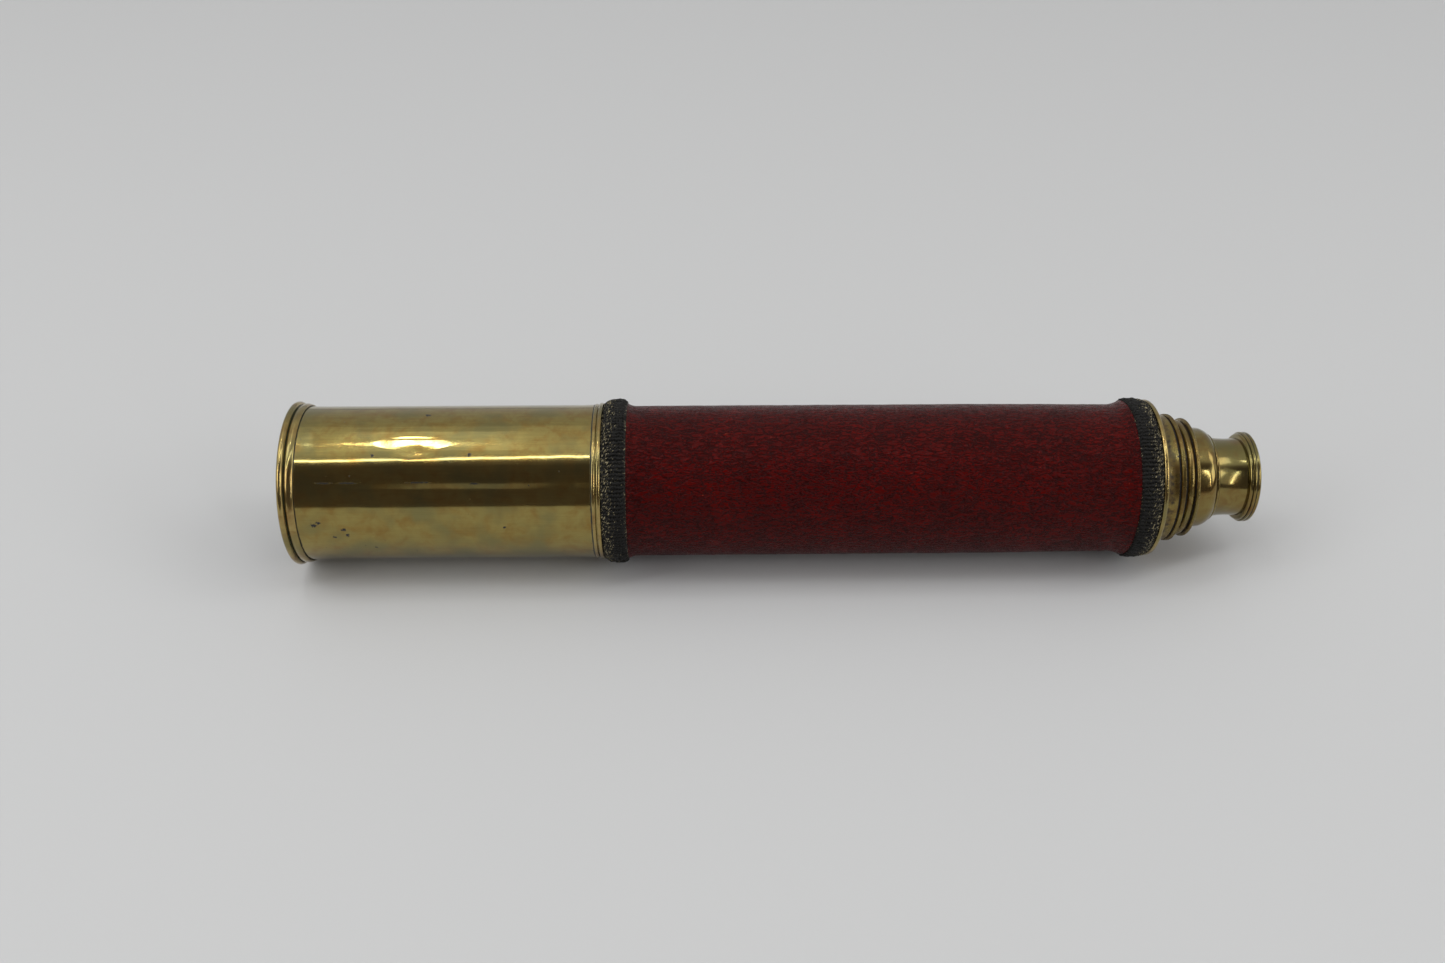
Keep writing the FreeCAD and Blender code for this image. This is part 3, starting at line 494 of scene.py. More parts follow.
def shade_wear(x, angle, r):
    inside_ends = min(1, (x - rim_end) / 6, (bead_start - x) / 6)
    if inside_ends <= 0 or r < shade_radius - 0.2:
        return 0
    wave = wave_size * noise.noise(Vector((x * 0.03, math.cos(angle) * 1.5, math.sin(angle) * 1.5)))
    ripple = ripple_size * noise.noise(Vector((x * 0.13, math.cos(angle) * 6, math.sin(angle) * 6)))
    crumple = 1 + 0.35 * noise.noise(Vector((x * 0.35, angle * 9, 3.0)))
    dent = dent_depth * near(x, angle, dent_x, dent_angle, 5.5, 1.7) * crumple
    # the flattened place is a chord across the tube, deepest over the dent
    flattened = 0
    if abs(angle - flat_angle) < 0.5:
        chord = shade_radius - flat_depth * math.exp(-((x - flat_x) / flat_length) ** 4)
        flattened = max(0, shade_radius - chord / math.cos(angle - flat_angle))
    seam_gap = (angle - seam_angle) * shade_radius + 0.25 * noise.noise(Vector((x * 0.06, 0, 0)))
    seam = seam_depth * math.exp(-(seam_gap / seam_half_width) ** 2)
    return (wave + ripple - wear_margin - dent - flattened - seam) * inside_ends


reshape(shade, shade_wear)
dimpled = shade.data.attributes.new("dimpled", "FLOAT", "POINT")
for vert in shade.data.vertices:
    angle = math.atan2(vert.co.z - axis_height, -vert.co.y)
    x = vert.co.x / MM
    worked = near(x, angle, flat_x, flat_angle, 24.0, 3.0) - near(x, angle, flat_x, flat_angle, 12.0, 6.0)
    dimpled.data[vert.index].value = max(0, worked) + near(x, angle, dent_x, dent_angle, 6.0, 2.0)
fit(shade, shade_brass, "shade", "shade_brass", "shade_tube")

rear_bead = turned("shade_rear_ring", arc(
    (bead_start, shade_radius), ((bead_start + bead_end) / 2, bead_radius), (bead_end, shade_radius), 8,
) + [(bead_end, shade_radius - shade_seat), (bead_start, shade_radius - shade_seat)], ease=0.05,
    grimy=[(bead_start, shade_radius)])
fit(rear_bead, ring_brass, "shade", "shade_brass", "shade_rear_bead")

rim_bead_width = 2.6
rim_root = 29.6
rim_band = 30.1
mouth_radius = 27.4
mouth_lip = 4.0
rim_groove = rim_start + rim_bead_width
rim = turned("mouth_rim", arc(
    (rim_start, rim_root), (rim_start + rim_bead_width / 2, rim_radius), (rim_groove - 0.15, rim_root), 12,
) + [(rim_groove, rim_root - 0.25)] + arc(
    (rim_groove + 0.15, rim_root), ((rim_groove + rim_end) / 2, rim_band), (rim_end, rim_root), 8,
) + [
    (rim_end, shade_radius + solder_gap), (rim_start + mouth_lip, shade_radius + solder_gap),
    (rim_start + mouth_lip, mouth_radius), (rim_start + edge_break, mouth_radius),
    (rim_start, mouth_radius + edge_break),
], ease=0.06, grimy=[(rim_end, shade_radius)])
fit(rim, ring_brass, "shade", "shade_brass", "shade_front_rim")

# ---------------------------------------------------------------- front ferrule
# A turned brass ring on the barrel. The shade stops against it, and its rear part, under the cord
# and the leather, carries the front collar.
ferrule_start, ferrule_end, ferrule_radius = ends_and_radius("front_ferrule")
barrel_radius = 27.82
ferrule_ring = 1.4
collar_seat = 28.8
ferrule_tail = 3.5
ring_side = ferrule_radius - edge_break
ferrule = turned("front_ring", arc(
    (ferrule_start, ring_side), (ferrule_start + ferrule_ring / 2, ferrule_radius),
    (ferrule_start + ferrule_ring, ring_side), 6,
) + [
    (ferrule_start + ferrule_ring, collar_seat), (ferrule_end - ferrule_tail, collar_seat),
    (ferrule_end, barrel_radius), (ferrule_start, barrel_radius),
], ease=0.06, grimy=[(ferrule_start + ferrule_ring, ring_side - 0.4)])
fit(ferrule, ring_brass, "barrel", "barrel_brass", "front_ferrule")

# ---------------------------------------------------------------- cord collars
# Fine black waxed cord, knotted as a flat Turk's head round each end of the barrel. Its strands
# cross over and under at about 45 degrees, tuck in at both edges, and are frayed pale in specks
# where hands have rubbed it, most of them towards the brass.
waxed_cord, tree, output = new_material("worn_waxed_cord")
place = add(tree, "ShaderNodeTexCoord").outputs["Object"]
fibre = add(tree, "ShaderNodeTexNoise", {
    "Vector": place, "Scale": 1 / (0.5 * MM), "Detail": 3.0, "Roughness": 0.6,
})
worn_patch = add(tree, "ShaderNodeTexNoise", {"Vector": place, "Scale": 1 / (3.5 * MM), "Detail": 2.0})
# the frayed specks, about 1.3 mm long, lie along the outer strands: x and the way round, turned
parts = add(tree, "ShaderNodeSeparateXYZ", {"Vector": place})
above_axis = add(tree, "ShaderNodeMath", {0: parts.outputs["Z"], 1: axis_height}, operation="SUBTRACT")
to_front = add(tree, "ShaderNodeMath", {0: parts.outputs["Y"], 1: -1.0}, operation="MULTIPLY")
round_angle = add(tree, "ShaderNodeMath", {
    0: above_axis.outputs[0], 1: to_front.outputs[0],
}, operation="ARCTAN2")
way_round = add(tree, "ShaderNodeMath", {0: round_angle.outputs[0], 1: 30.5 * MM}, operation="MULTIPLY")
unrolled = add(tree, "ShaderNodeCombineXYZ", {"X": parts.outputs["X"], "Y": way_round.outputs[0]})
in_line = add(tree, "ShaderNodeVectorRotate", {
    "Vector": unrolled.outputs[0], "Angle": math.radians(-58),
}, rotation_type="Z_AXIS")
speck_place = add(tree, "ShaderNodeMapping", {
    "Vector": in_line.outputs[0], "Scale": (1 / (1.3 * MM), 1 / (0.42 * MM), 1),
})
speck_noise = add(tree, "ShaderNodeTexNoise", {
    "Vector": speck_place.outputs[0], "Scale": 1.0, "Detail": 2.0, "Roughness": 0.6, "Distortion": 0.3,
})
height = add(tree, "ShaderNodeAttribute", attribute_name="top")
across = add(tree, "ShaderNodeAttribute", attribute_name="across")
rubbed = add(tree, "ShaderNodeMapRange", {
    "Value": across.outputs["Fac"], "From Min": 0.3, "From Max": 0.85, "To Min": 0.03, "To Max": -0.14,
})
worn_side = add(tree, "ShaderNodeMath", {
    0: speck_noise.outputs["Fac"], 1: rubbed.outputs[0],
}, operation="ADD")
worn_patchy = add(tree, "ShaderNodeMath", {
    0: worn_patch.outputs["Fac"], 1: 0.12, 2: worn_side.outputs[0],
}, operation="MULTIPLY_ADD")
worn_top = add(tree, "ShaderNodeMath", {
    0: height.outputs["Fac"], 1: 0.015, 2: worn_patchy.outputs[0],
}, operation="MULTIPLY_ADD")
worn = add(tree, "ShaderNodeMapRange", {
    "Value": worn_top.outputs[0], "From Min": 0.66, "From Max": 0.72,
})
black = add(tree, "ShaderNodeMix", {
    0: worn_patch.outputs["Fac"], 6: linear("#0A0A09"), 7: linear("#1C1B18"),
}, data_type="RGBA")
cord_colour = add(tree, "ShaderNodeMix", {
    0: worn.outputs[0], 6: black.outputs[2], 7: linear("#A39876"),
}, data_type="RGBA")
fibre_relief = add(tree, "ShaderNodeBump", {
    "Height": fibre.outputs["Fac"], "Strength": 0.7, "Distance": 0.15 * MM,
})
shader = add(tree, "ShaderNodeBsdfPrincipled", {
    "Base Color": cord_colour.outputs[2], "Roughness": 0.5, "Normal": fibre_relief.outputs[0],
    "Specular IOR Level": 0.22,
})
tree.links.new(shader.outputs["BSDF"], output.inputs["Surface"])

# The tree makes one strand across the collar, copies it round the axis leaning one way, and again
# leaning the other way, where it goes under what the first goes over.
braid = bpy.data.node_groups.new("turks_head", "GeometryNodeTree")
braid.is_modifier = True
braid.interface.new_socket("Core", in_out="INPUT", socket_type="NodeSocketGeometry")
for socket_name, socket_type in (
    ("Strands", "NodeSocketInt"), ("Crossings", "NodeSocketFloat"), ("Lean", "NodeSocketFloat"),
    ("Strand Radius", "NodeSocketFloat"), ("Weave Depth", "NodeSocketFloat"),
    ("Start", "NodeSocketFloat"), ("Width", "NodeSocketFloat"), ("Low Radius", "NodeSocketFloat"),
    ("Rise", "NodeSocketFloat"), ("Axis Height", "NodeSocketFloat"), ("Slack", "NodeSocketFloat"),
    ("Slack Scale", "NodeSocketFloat"), ("Cord", "NodeSocketMaterial"),
):
    braid.interface.new_socket(socket_name, in_out="INPUT", socket_type=socket_type)
braid.interface.new_socket("Collar", in_out="OUTPUT", socket_type="NodeSocketGeometry")
given = add(braid, "NodeGroupInput")
finished = add(braid, "NodeGroupOutput")
strands_of_both = add(braid, "GeometryNodeJoinGeometry")

rung = add(braid, "GeometryNodeCurvePrimitiveLine", {"End": (1, 0, 0)})
strand_points = add(braid, "GeometryNodeResampleCurve", {"Curve": rung.outputs[0], "Count": 50})
along = add(braid, "GeometryNodeSplineParameter").outputs["Factor"]
# the collar's dome across its width, from its low edge to its round edge, as shares of the rise
dome = add(braid, "ShaderNodeFloatCurve", {"Value": along})
dome_points = [(0.0, 0.0), (0.1, 0.3), (0.25, 0.74), (0.5, 1.0), (0.82, 1.0), (0.94, 0.75), (1.0, 0.1)]
curve = dome.mapping.curves[0]
for share_across, share_up in dome_points[1:-1]:
    curve.points.new(share_across, share_up)
curve.points[0].location = dome_points[0]
curve.points[-1].location = dome_points[-1]
dome.mapping.update()
dome_height = add(braid, "ShaderNodeMath", {
    0: dome.outputs[0], 1: given.outputs["Rise"], 2: given.outputs["Low Radius"],
}, operation="MULTIPLY_ADD")
half_waves = add(braid, "ShaderNodeMath", {0: along, 1: given.outputs["Crossings"]}, operation="MULTIPLY")
wave_angle = add(braid, "ShaderNodeMath", {0: half_waves.outputs[0], 1: math.pi}, operation="MULTIPLY")
weave = add(braid, "ShaderNodeMath", {0: wave_angle.outputs[0]}, operation="COSINE")
strand_x = add(braid, "ShaderNodeMath", {
    0: along, 1: given.outputs["Width"], 2: given.outputs["Start"],
}, operation="MULTIPLY_ADD")
middle = add(braid, "ShaderNodeMath", {0: along, 1: 0.5}, operation="SUBTRACT")
strand_section = add(braid, "GeometryNodeCurvePrimitiveCircle", {
    "Resolution": 6, "Radius": given.outputs["Strand Radius"],
})
ring_points = add(braid, "GeometryNodeMeshLine", {
    "Count": given.outputs["Strands"], "Start Location": (0, 0, 0), "Offset": (0, 0, 0),
})
ring_centre = add(braid, "ShaderNodeCombineXYZ", {"Z": given.outputs["Axis Height"]})
centred = add(braid, "GeometryNodeSetPosition", {
    "Geometry": ring_points.outputs[0], "Position": ring_centre.outputs[0],
})
step = add(braid, "ShaderNodeMath", {0: 2 * math.pi, 1: given.outputs["Strands"]}, operation="DIVIDE")
for lean_way in (1, -1):
    depth = add(braid, "ShaderNodeMath", {
        0: given.outputs["Weave Depth"], 1: float(lean_way),
    }, operation="MULTIPLY")
    radius = add(braid, "ShaderNodeMath", {
        0: weave.outputs[0], 1: depth.outputs[0], 2: dome_height.outputs[0],
    }, operation="MULTIPLY_ADD")
    lean = add(braid, "ShaderNodeMath", {
        0: given.outputs["Lean"], 1: float(lean_way),
    }, operation="MULTIPLY")
    strand_angle = add(braid, "ShaderNodeMath", {
        0: middle.outputs[0], 1: lean.outputs[0],
    }, operation="MULTIPLY")
    sine = add(braid, "ShaderNodeMath", {0: strand_angle.outputs[0]}, operation="SINE")
    cosine = add(braid, "ShaderNodeMath", {0: strand_angle.outputs[0]}, operation="COSINE")
    strand_y = add(braid, "ShaderNodeMath", {
        0: radius.outputs[0], 1: sine.outputs[0],
    }, operation="MULTIPLY")
    strand_z = add(braid, "ShaderNodeMath", {
        0: radius.outputs[0], 1: cosine.outputs[0],
    }, operation="MULTIPLY")
    strand_place = add(braid, "ShaderNodeCombineXYZ", {
        "X": strand_x.outputs[0], "Y": strand_y.outputs[0], "Z": strand_z.outputs[0],
    })
    strand = add(braid, "GeometryNodeSetPosition", {
        "Geometry": strand_points.outputs[0], "Position": strand_place.outputs[0],
    })
    proud = 0.3 if lean_way > 0 else -1.0  # one layer stands higher and is rubbed more
    top = add(braid, "ShaderNodeMath", {
        0: weave.outputs[0], 1: float(lean_way), 2: proud,
    }, operation="MULTIPLY_ADD")
    marked = add(braid, "GeometryNodeStoreNamedAttribute", {
        "Geometry": strand.outputs[0], "Name": "top", "Value": top.outputs[0],
    }, data_type="FLOAT", domain="POINT")
    placed = add(braid, "GeometryNodeStoreNamedAttribute", {
        "Geometry": marked.outputs[0], "Name": "across", "Value": along,
    }, data_type="FLOAT", domain="POINT")
    solid = add(braid, "GeometryNodeCurveToMesh", {
        "Curve": placed.outputs[0], "Profile Curve": strand_section.outputs[0], "Fill Caps": True,
    })
    half_step = 0.0 if lean_way > 0 else 0.5
    number = add(braid, "ShaderNodeMath", {
        0: add(braid, "GeometryNodeInputIndex").outputs[0], 1: half_step,
    }, operation="ADD")
    turn = add(braid, "ShaderNodeMath", {0: number.outputs[0], 1: step.outputs[0]}, operation="MULTIPLY")
    rotation = add(braid, "ShaderNodeCombineXYZ", {"X": turn.outputs[0]})
    copies = add(braid, "GeometryNodeInstanceOnPoints", {
        "Points": centred.outputs[0], "Instance": solid.outputs[0], "Rotation": rotation.outputs[0],
    })
    braid.links.new(copies.outputs[0], strands_of_both.inputs[0])
real = add(braid, "GeometryNodeRealizeInstances", {"Geometry": strands_of_both.outputs[0]})
# each strand lies a little out of line, as knotted by hand
slack_noise = add(braid, "ShaderNodeTexNoise", {
    "Vector": add(braid, "GeometryNodeInputPosition").outputs[0], "Scale": given.outputs["Slack Scale"],
    "Detail": 1.0,
})
slack_way = add(braid, "ShaderNodeVectorMath", {
    0: slack_noise.outputs["Color"], 1: (0.5, 0.5, 0.5),
}, operation="SUBTRACT")
slack = add(braid, "ShaderNodeVectorMath", {
    0: slack_way.outputs[0], "Scale": given.outputs["Slack"],
}, operation="SCALE")
uneven = add(braid, "GeometryNodeSetPosition", {
    "Geometry": real.outputs[0], "Offset": slack.outputs[0],
})
layers = add(braid, "GeometryNodeJoinGeometry")
braid.links.new(given.outputs["Core"], layers.inputs[0])
braid.links.new(uneven.outputs[0], layers.inputs[0])
smooth = add(braid, "GeometryNodeSetShadeSmooth", {"Geometry": layers.outputs[0]})
dressed = add(braid, "GeometryNodeSetMaterial", {
    "Geometry": smooth.outputs[0], "Material": given.outputs["Cord"],
})
braid.links.new(dressed.outputs[0], finished.inputs[0])

strand_radius = 0.45
strand_pitch = 1.55
weave_depth = 0.3
slack_size = 1.3
low_edge = 29.9
crossings = 14
for node, name, from_front in (
    ("front_cord_collar", "front_turks_head", True), ("rear_cord_collar", "rear_turks_head", False),
):
    collar_start, collar_end, crown = ends_and_radius(node)
    low_x, high_x = (collar_start, collar_end) if from_front else (collar_end, collar_start)
    width = high_x - low_x
    # from the collar's outside to the strands' middles
    sink = strand_radius + weave_depth + 0.2 * slack_size
    core_outline = [
        (low_x, collar_seat + solder_gap), (low_x, low_edge - sink), (low_x + 0.5 * width, crown - sink),
        (low_x + 0.8 * width, crown - sink), (high_x, crown - 1.7), (high_x, collar_seat + solder_gap),
    ]
    collar = turned(name, core_outline if from_front else core_outline[::-1], around=160, ease=0.3)
    modifier = collar.modifiers.new("turks_head", "NODES")
    modifier.node_group = braid
    inset = math.copysign(strand_radius, width)
    strands = round(2 * math.pi * crown / strand_pitch)
    values = {
        "Strands": strands, "Crossings": float(crossings), "Lean": crossings / 2 * 2 * math.pi / strands,
        "Strand Radius": strand_radius * MM, "Weave Depth": weave_depth * MM,
        "Start": (low_x + inset) * MM, "Width": (width - 2 * inset) * MM,
        "Low Radius": (low_edge - sink) * MM, "Rise": (crown - low_edge) * MM,
        "Axis Height": axis_height, "Slack": slack_size * MM, "Slack Scale": 1 / (1.6 * MM),
        "Cord": waxed_cord,
    }
    for item in braid.interface.items_tree:
        if item.in_out == "INPUT" and item.name in values:
            modifier[item.identifier] = values[item.name]
    knotted = bpy.data.meshes.new_from_object(
        collar.evaluated_get(bpy.context.evaluated_depsgraph_get())
    )
    collar.modifiers.clear()
    collar.data = knotted
    fit(collar, waxed_cord, "barrel", "cord", node)

# ---------------------------------------------------------------- leather cover
# Oxblood morocco leather glued round the barrel with a butt seam underneath. It climbs onto the
# ferrules at both ends and has shrunk in at the rear. Its grain is about 0.9 mm, drawn out along
# the barrel into wrinkles whose creases are darkened with painted shade, and it has small scuffs.
morocco, tree, output = new_material("oxblood_morocco")
place = add(tree, "ShaderNodeTexCoord").outputs["Object"]
drawn = add(tree, "ShaderNodeMapping", {"Vector": place, "Scale": (0.45, 1.0, 1.0)})
bend = add(tree, "ShaderNodeTexNoise", {"Vector": place, "Scale": 1 / (3.0 * MM), "Detail": 2.0})
bent = add(tree, "ShaderNodeMix", {
    0: 0.0012, 4: drawn.outputs[0], 5: bend.outputs["Color"],
}, data_type="VECTOR", clamp_factor=False)
pebbles = add(tree, "ShaderNodeTexVoronoi", {
    "Vector": bent.outputs[1], "Scale": 1 / (0.9 * MM), "Randomness": 1.0,
}, feature="DISTANCE_TO_EDGE")
fine = add(tree, "ShaderNodeTexVoronoi", {
    "Vector": bent.outputs[1], "Scale": 1 / (0.5 * MM), "Randomness": 1.0,
}, feature="F1")
creases = add(tree, "ShaderNodeMapRange", {
    "Value": pebbles.outputs["Distance"], "From Min": 0.0, "From Max": 0.22,
}, interpolation_type="SMOOTHSTEP")
grain = add(tree, "ShaderNodeMath", {
    0: fine.outputs["Distance"], 1: -0.35, 2: creases.outputs[0],
}, operation="MULTIPLY_ADD")
# longer wrinkles along the barrel
wrinkle_place = add(tree, "ShaderNodeMapping", {"Vector": place, "Scale": (0.38, 1.0, 1.0)})
wrinkles = add(tree, "ShaderNodeTexNoise", {
    "Vector": wrinkle_place.outputs[0], "Scale": 1 / (1.3 * MM), "Detail": 2.0, "Roughness": 0.55,
    "Distortion": 0.6,
})
# they end in sharp creases, where the noise crosses its middle
middle_gap = add(tree, "ShaderNodeMath", {0: wrinkles.outputs["Fac"], 1: 0.5}, operation="SUBTRACT")
crease_gap = add(tree, "ShaderNodeMath", {0: middle_gap.outputs[0]}, operation="ABSOLUTE")
wrinkle_lines = add(tree, "ShaderNodeMapRange", {
    "Value": crease_gap.outputs[0], "From Min": 0.0, "From Max": 0.09,
}, interpolation_type="SMOOTHSTEP")
wrinkle_height = add(tree, "ShaderNodeMath", {
    0: wrinkle_lines.outputs[0], 1: 0.5, 2: wrinkles.outputs["Fac"],
}, operation="MULTIPLY_ADD")
patches = add(tree, "ShaderNodeTexNoise", {"Vector": place, "Scale": 1 / (14 * MM), "Detail": 4.0})
depth = add(tree, "ShaderNodeMapRange", {
    "Value": patches.outputs["Fac"], "From Min": 0.35, "From Max": 0.65,
})
red = add(tree, "ShaderNodeMix", {
    0: depth.outputs[0], 6: linear("#490503"), 7: linear("#5A0704"),
}, data_type="RGBA")
creased = add(tree, "ShaderNodeMix", {
    0: creases.outputs[0], 6: linear("#3E0403"), 7: red.outputs[2],
}, data_type="RGBA")
scuff_noise = add(tree, "ShaderNodeTexNoise", {
    "Vector": place, "Scale": 1 / (2.6 * MM), "Detail": 6.0, "Roughness": 0.7,
})
scuffs = add(tree, "ShaderNodeMapRange", {
    "Value": scuff_noise.outputs["Fac"], "From Min": 0.67, "From Max": 0.76,
})
# painted shade: the wrinkles' creases are coloured dark, and the tops between them a little lighter
wrinkle_crease_shade = add(tree, "ShaderNodeMapRange", {
    "Value": wrinkle_lines.outputs[0], "To Min": 0.36, "To Max": 1.06,
})
wrinkle_shaded_red = add(tree, "ShaderNodeVectorMath", {
    0: creased.outputs[2], "Scale": wrinkle_crease_shade.outputs[0],
}, operation="SCALE")
leather_colour = add(tree, "ShaderNodeMix", {
    0: scuffs.outputs[0], 6: wrinkle_shaded_red.outputs[0], 7: linear("#A5402A"),
}, data_type="RGBA")
sheen_map = add(tree, "ShaderNodeMapRange", {
    "Value": creases.outputs[0], "To Min": 0.36, "To Max": 0.18,
})
wrinkle_relief = add(tree, "ShaderNodeBump", {
    "Height": wrinkle_height.outputs[0], "Strength": 1.0, "Distance": 0.5 * MM,
})
leather_relief = add(tree, "ShaderNodeBump", {
    "Height": grain.outputs[0], "Normal": wrinkle_relief.outputs[0], "Strength": 1.0,
    "Distance": 0.045 * MM,
})
shader = add(tree, "ShaderNodeBsdfPrincipled", {
    "Base Color": leather_colour.outputs[2], "Roughness": sheen_map.outputs[0],
    "Normal": leather_relief.outputs[0], "Specular IOR Level": 0.09,
})
tree.links.new(shader.outputs["BSDF"], output.inputs["Surface"])

leather_start, leather_end, lifted_radius = ends_and_radius("leather_cover")
leather_radius = 28.52
leather_waist = 28.10
leather_flare = 3.5
leather_taper = 46.0
leather_rear_flare = 5.2
flare_end = leather_start + leather_flare
waist_x = leather_end - leather_rear_flare
cover = turned("leather_sleeve", arc(
    (leather_start, lifted_radius),
    ((leather_start + flare_end) / 2, (lifted_radius + leather_radius) / 2 - 0.3),
    (flare_end, leather_radius), 8,
) + [(waist_x - leather_taper, leather_radius)] + arc(
    (waist_x, leather_waist),
    ((waist_x + leather_end) / 2, (leather_waist + lifted_radius) / 2 - 0.28),
    (leather_end, lifted_radius), 10,
) + [
    (leather_end, collar_seat + solder_gap), (leather_end - leather_flare, barrel_radius),
    (leather_start + leather_flare, barrel_radius), (leather_start, collar_seat + solder_gap),
], around=360, ease=0.15, row_step=0.95)
butt_seam_angle = math.radians(-100)


def leather_shape(x, angle, r):
    """The skin's own unevenness, its wrinkles along the barrel, and the butt seam, kept inside
    the sleeve's own radius."""
    if r < leather_waist - 0.2:
        return 0
    around_y, around_z = math.cos(angle) * 28, math.sin(angle) * 28
    ripple = 0.06 * noise.noise(Vector((x * 0.12, around_y * 0.16, around_z * 0.16)))
    wrinkle = 0.075 * noise.noise(Vector((x * 0.28, around_y * 0.9, around_z * 0.9)))
    seam = 0.25 * math.exp(-((angle - butt_seam_angle) * leather_radius / 0.25) ** 2)
    return ripple + wrinkle - 0.09 - seam


reshape(cover, leather_shape)
fit(cover, morocco, "barrel", "leather", "leather_cover")

# ---------------------------------------------------------------- end plate
# The thin turned plate that closes the barrel. The rear collar's seat, hidden under the cord, keeps its CAD
# shape.
plate_start, plate_end, plate_radius = ends_and_radius("barrel_end_cap")
plate_thickness = 1.5
plate_front = plate_end - plate_thickness
boss_outer, boss_bore, pass_bore = 26.78, 23.82, 23.05
plate_side = plate_radius - edge_break
plate = turned("end_plate", [
    (plate_start, boss_bore), (plate_start, boss_outer), (plate_front, boss_outer),
] + arc(
    (plate_front, plate_side), (plate_end - plate_thickness / 2, plate_radius), (plate_end, plate_side), 8,
) + [
    (plate_end, pass_bore), (plate_front + 0.3, pass_bore), (plate_front + 0.3, boss_bore),
], ease=0.08)
fit(plate, ring_brass, "barrel", "barrel_brass", "barrel_end_cap")

# ---------------------------------------------------------------- draw tubes
# Three seamless drawn tubes, polished along their length where the sleeves rub them.
draw_brass = old_brass(
    "drawn_tube_brass", ("#B49A5C", "#9C7B40", "#98894E"), 0.12, 14.0, 90,
)
draw_wall = 0.6
for number in (1, 2, 3):
    tube_start, tube_end, tube_radius = ends_and_radius(f"draw_{number}_tube")
    tube = turned(f"draw_{number}_sheet", [
        (tube_start, tube_radius - draw_wall), (tube_start, tube_radius),
        (tube_end, tube_radius), (tube_end, tube_radius - draw_wall),
    ], around=192, ease=0.05, row_step=12)
    fit(tube, draw_brass, f"draw_{number}", "draw_brass", f"draw_{number}_tube")

# ---------------------------------------------------------------- draw collars
# Turned brass collars that close each draw's end and give a grip to pull it by. Their lips are
# finely milled, and the milling is worn and full of old polish.
collar_brass = old_brass(
    "turned_collar_brass", ("#8B7945", "#6E5430", "#766B3F"), 0.22, 4.0, 1.0, "#22180D", wax=0.1,
)
milling_pitch = 0.5
milling_depth = 0.05


def milled_collar(name, outline, lip_start, lip_end, lip_radius, grimy=()):
    """A turned collar whose lip is milled along the axis."""
    ridges = round(2 * math.pi * lip_radius / milling_pitch)
    collar = turned(name, outline, around=3 * ridges, ease=0.08, grimy=grimy)

    def milling(x, angle, r):
        on_lip = lip_start < x < lip_end and r > lip_radius - 0.4
        return milling_depth * (math.cos(ridges * angle) - 1) if on_lip else 0

    reshape(collar, milling)
    return collar


first_start, first_end, first_radius = ends_and_radius("draw_1_collar")
tube_1, tube_2, tube_3 = 22.9, 20.5, 18.1
first_lip, first_groove, first_groove_depth, first_cove_depth = 1.7, 0.8, 0.9, 0.5
first_cove = first_end - first_lip - first_groove
first_side = first_radius - edge_break
first_collar = milled_collar("draw_1_grip", arc(
    (first_start, first_side), ((first_start + first_cove) / 2, first_side - first_cove_depth),
    (first_cove, first_side), 14,
) + [
    (first_cove, first_radius - first_groove_depth),
    (first_end - first_lip, first_radius - first_groove_depth),
    (first_end - first_lip, first_side), (first_end - first_lip + edge_break, first_radius),
    (first_end - edge_break, first_radius), (first_end, first_side), (first_end, tube_2 + 0.15),
    (first_end - 1.2, tube_2 + 0.15), (first_end - 1.2, tube_1 + solder_gap),
    (first_start, tube_1 + solder_gap),
], first_end - first_lip, first_end - 0.35, first_radius, grimy=[
    (first_cove + first_groove / 2, first_radius - first_groove_depth),
])
# the cove is brown with tarnish, out of the polishing cloth's reach
tarnish = first_collar.data.attributes["hollow"].data
for vert in first_collar.data.vertices:
    share_along = (vert.co.x / MM - first_start) / (first_cove - first_start)
    if 0.04 < share_along < 0.98:
        tarnish[vert.index].value = max(tarnish[vert.index].value, 0.56 * math.sin(math.pi * share_along))
fit(first_collar, collar_brass, "draw_1", "collar_brass", "draw_1_collar")

second_start, second_end, second_radius = ends_and_radius("draw_2_collar")
second_neck, second_lip, second_bead_drop = 1.4, 1.2, 0.65
second_bead = second_start + second_neck
second_bead_end = second_end - second_lip - edge_break
second_crown = second_radius - second_bead_drop
second_root = second_crown - (second_bead_end - second_bead) / 3
second_side = second_radius - edge_break
second_collar = milled_collar("draw_2_grip", [
    (second_start, second_root), (second_bead, second_root),
] + arc(
    (second_bead, second_root), ((second_bead + second_bead_end) / 2, second_crown),
    (second_bead_end, second_root), 16,
)[1:] + [
    (second_end - second_lip, second_root), (second_end - second_lip, second_side),
] + arc(
    (second_end - second_lip, second_side), (second_end - second_lip / 2, second_radius),
    (second_end, second_side), 6,
)[1:] + [
    (second_end, tube_3 + 0.15), (second_end - 1.2, tube_3 + 0.15),
    (second_end - 1.2, tube_2 + solder_gap), (second_start, tube_2 + solder_gap),
], second_end - second_lip, second_end, second_radius, grimy=[(second_bead_end + 0.2, second_root + 0.4)])
fit(second_collar, collar_brass, "draw_2", "collar_brass", "draw_2_collar")

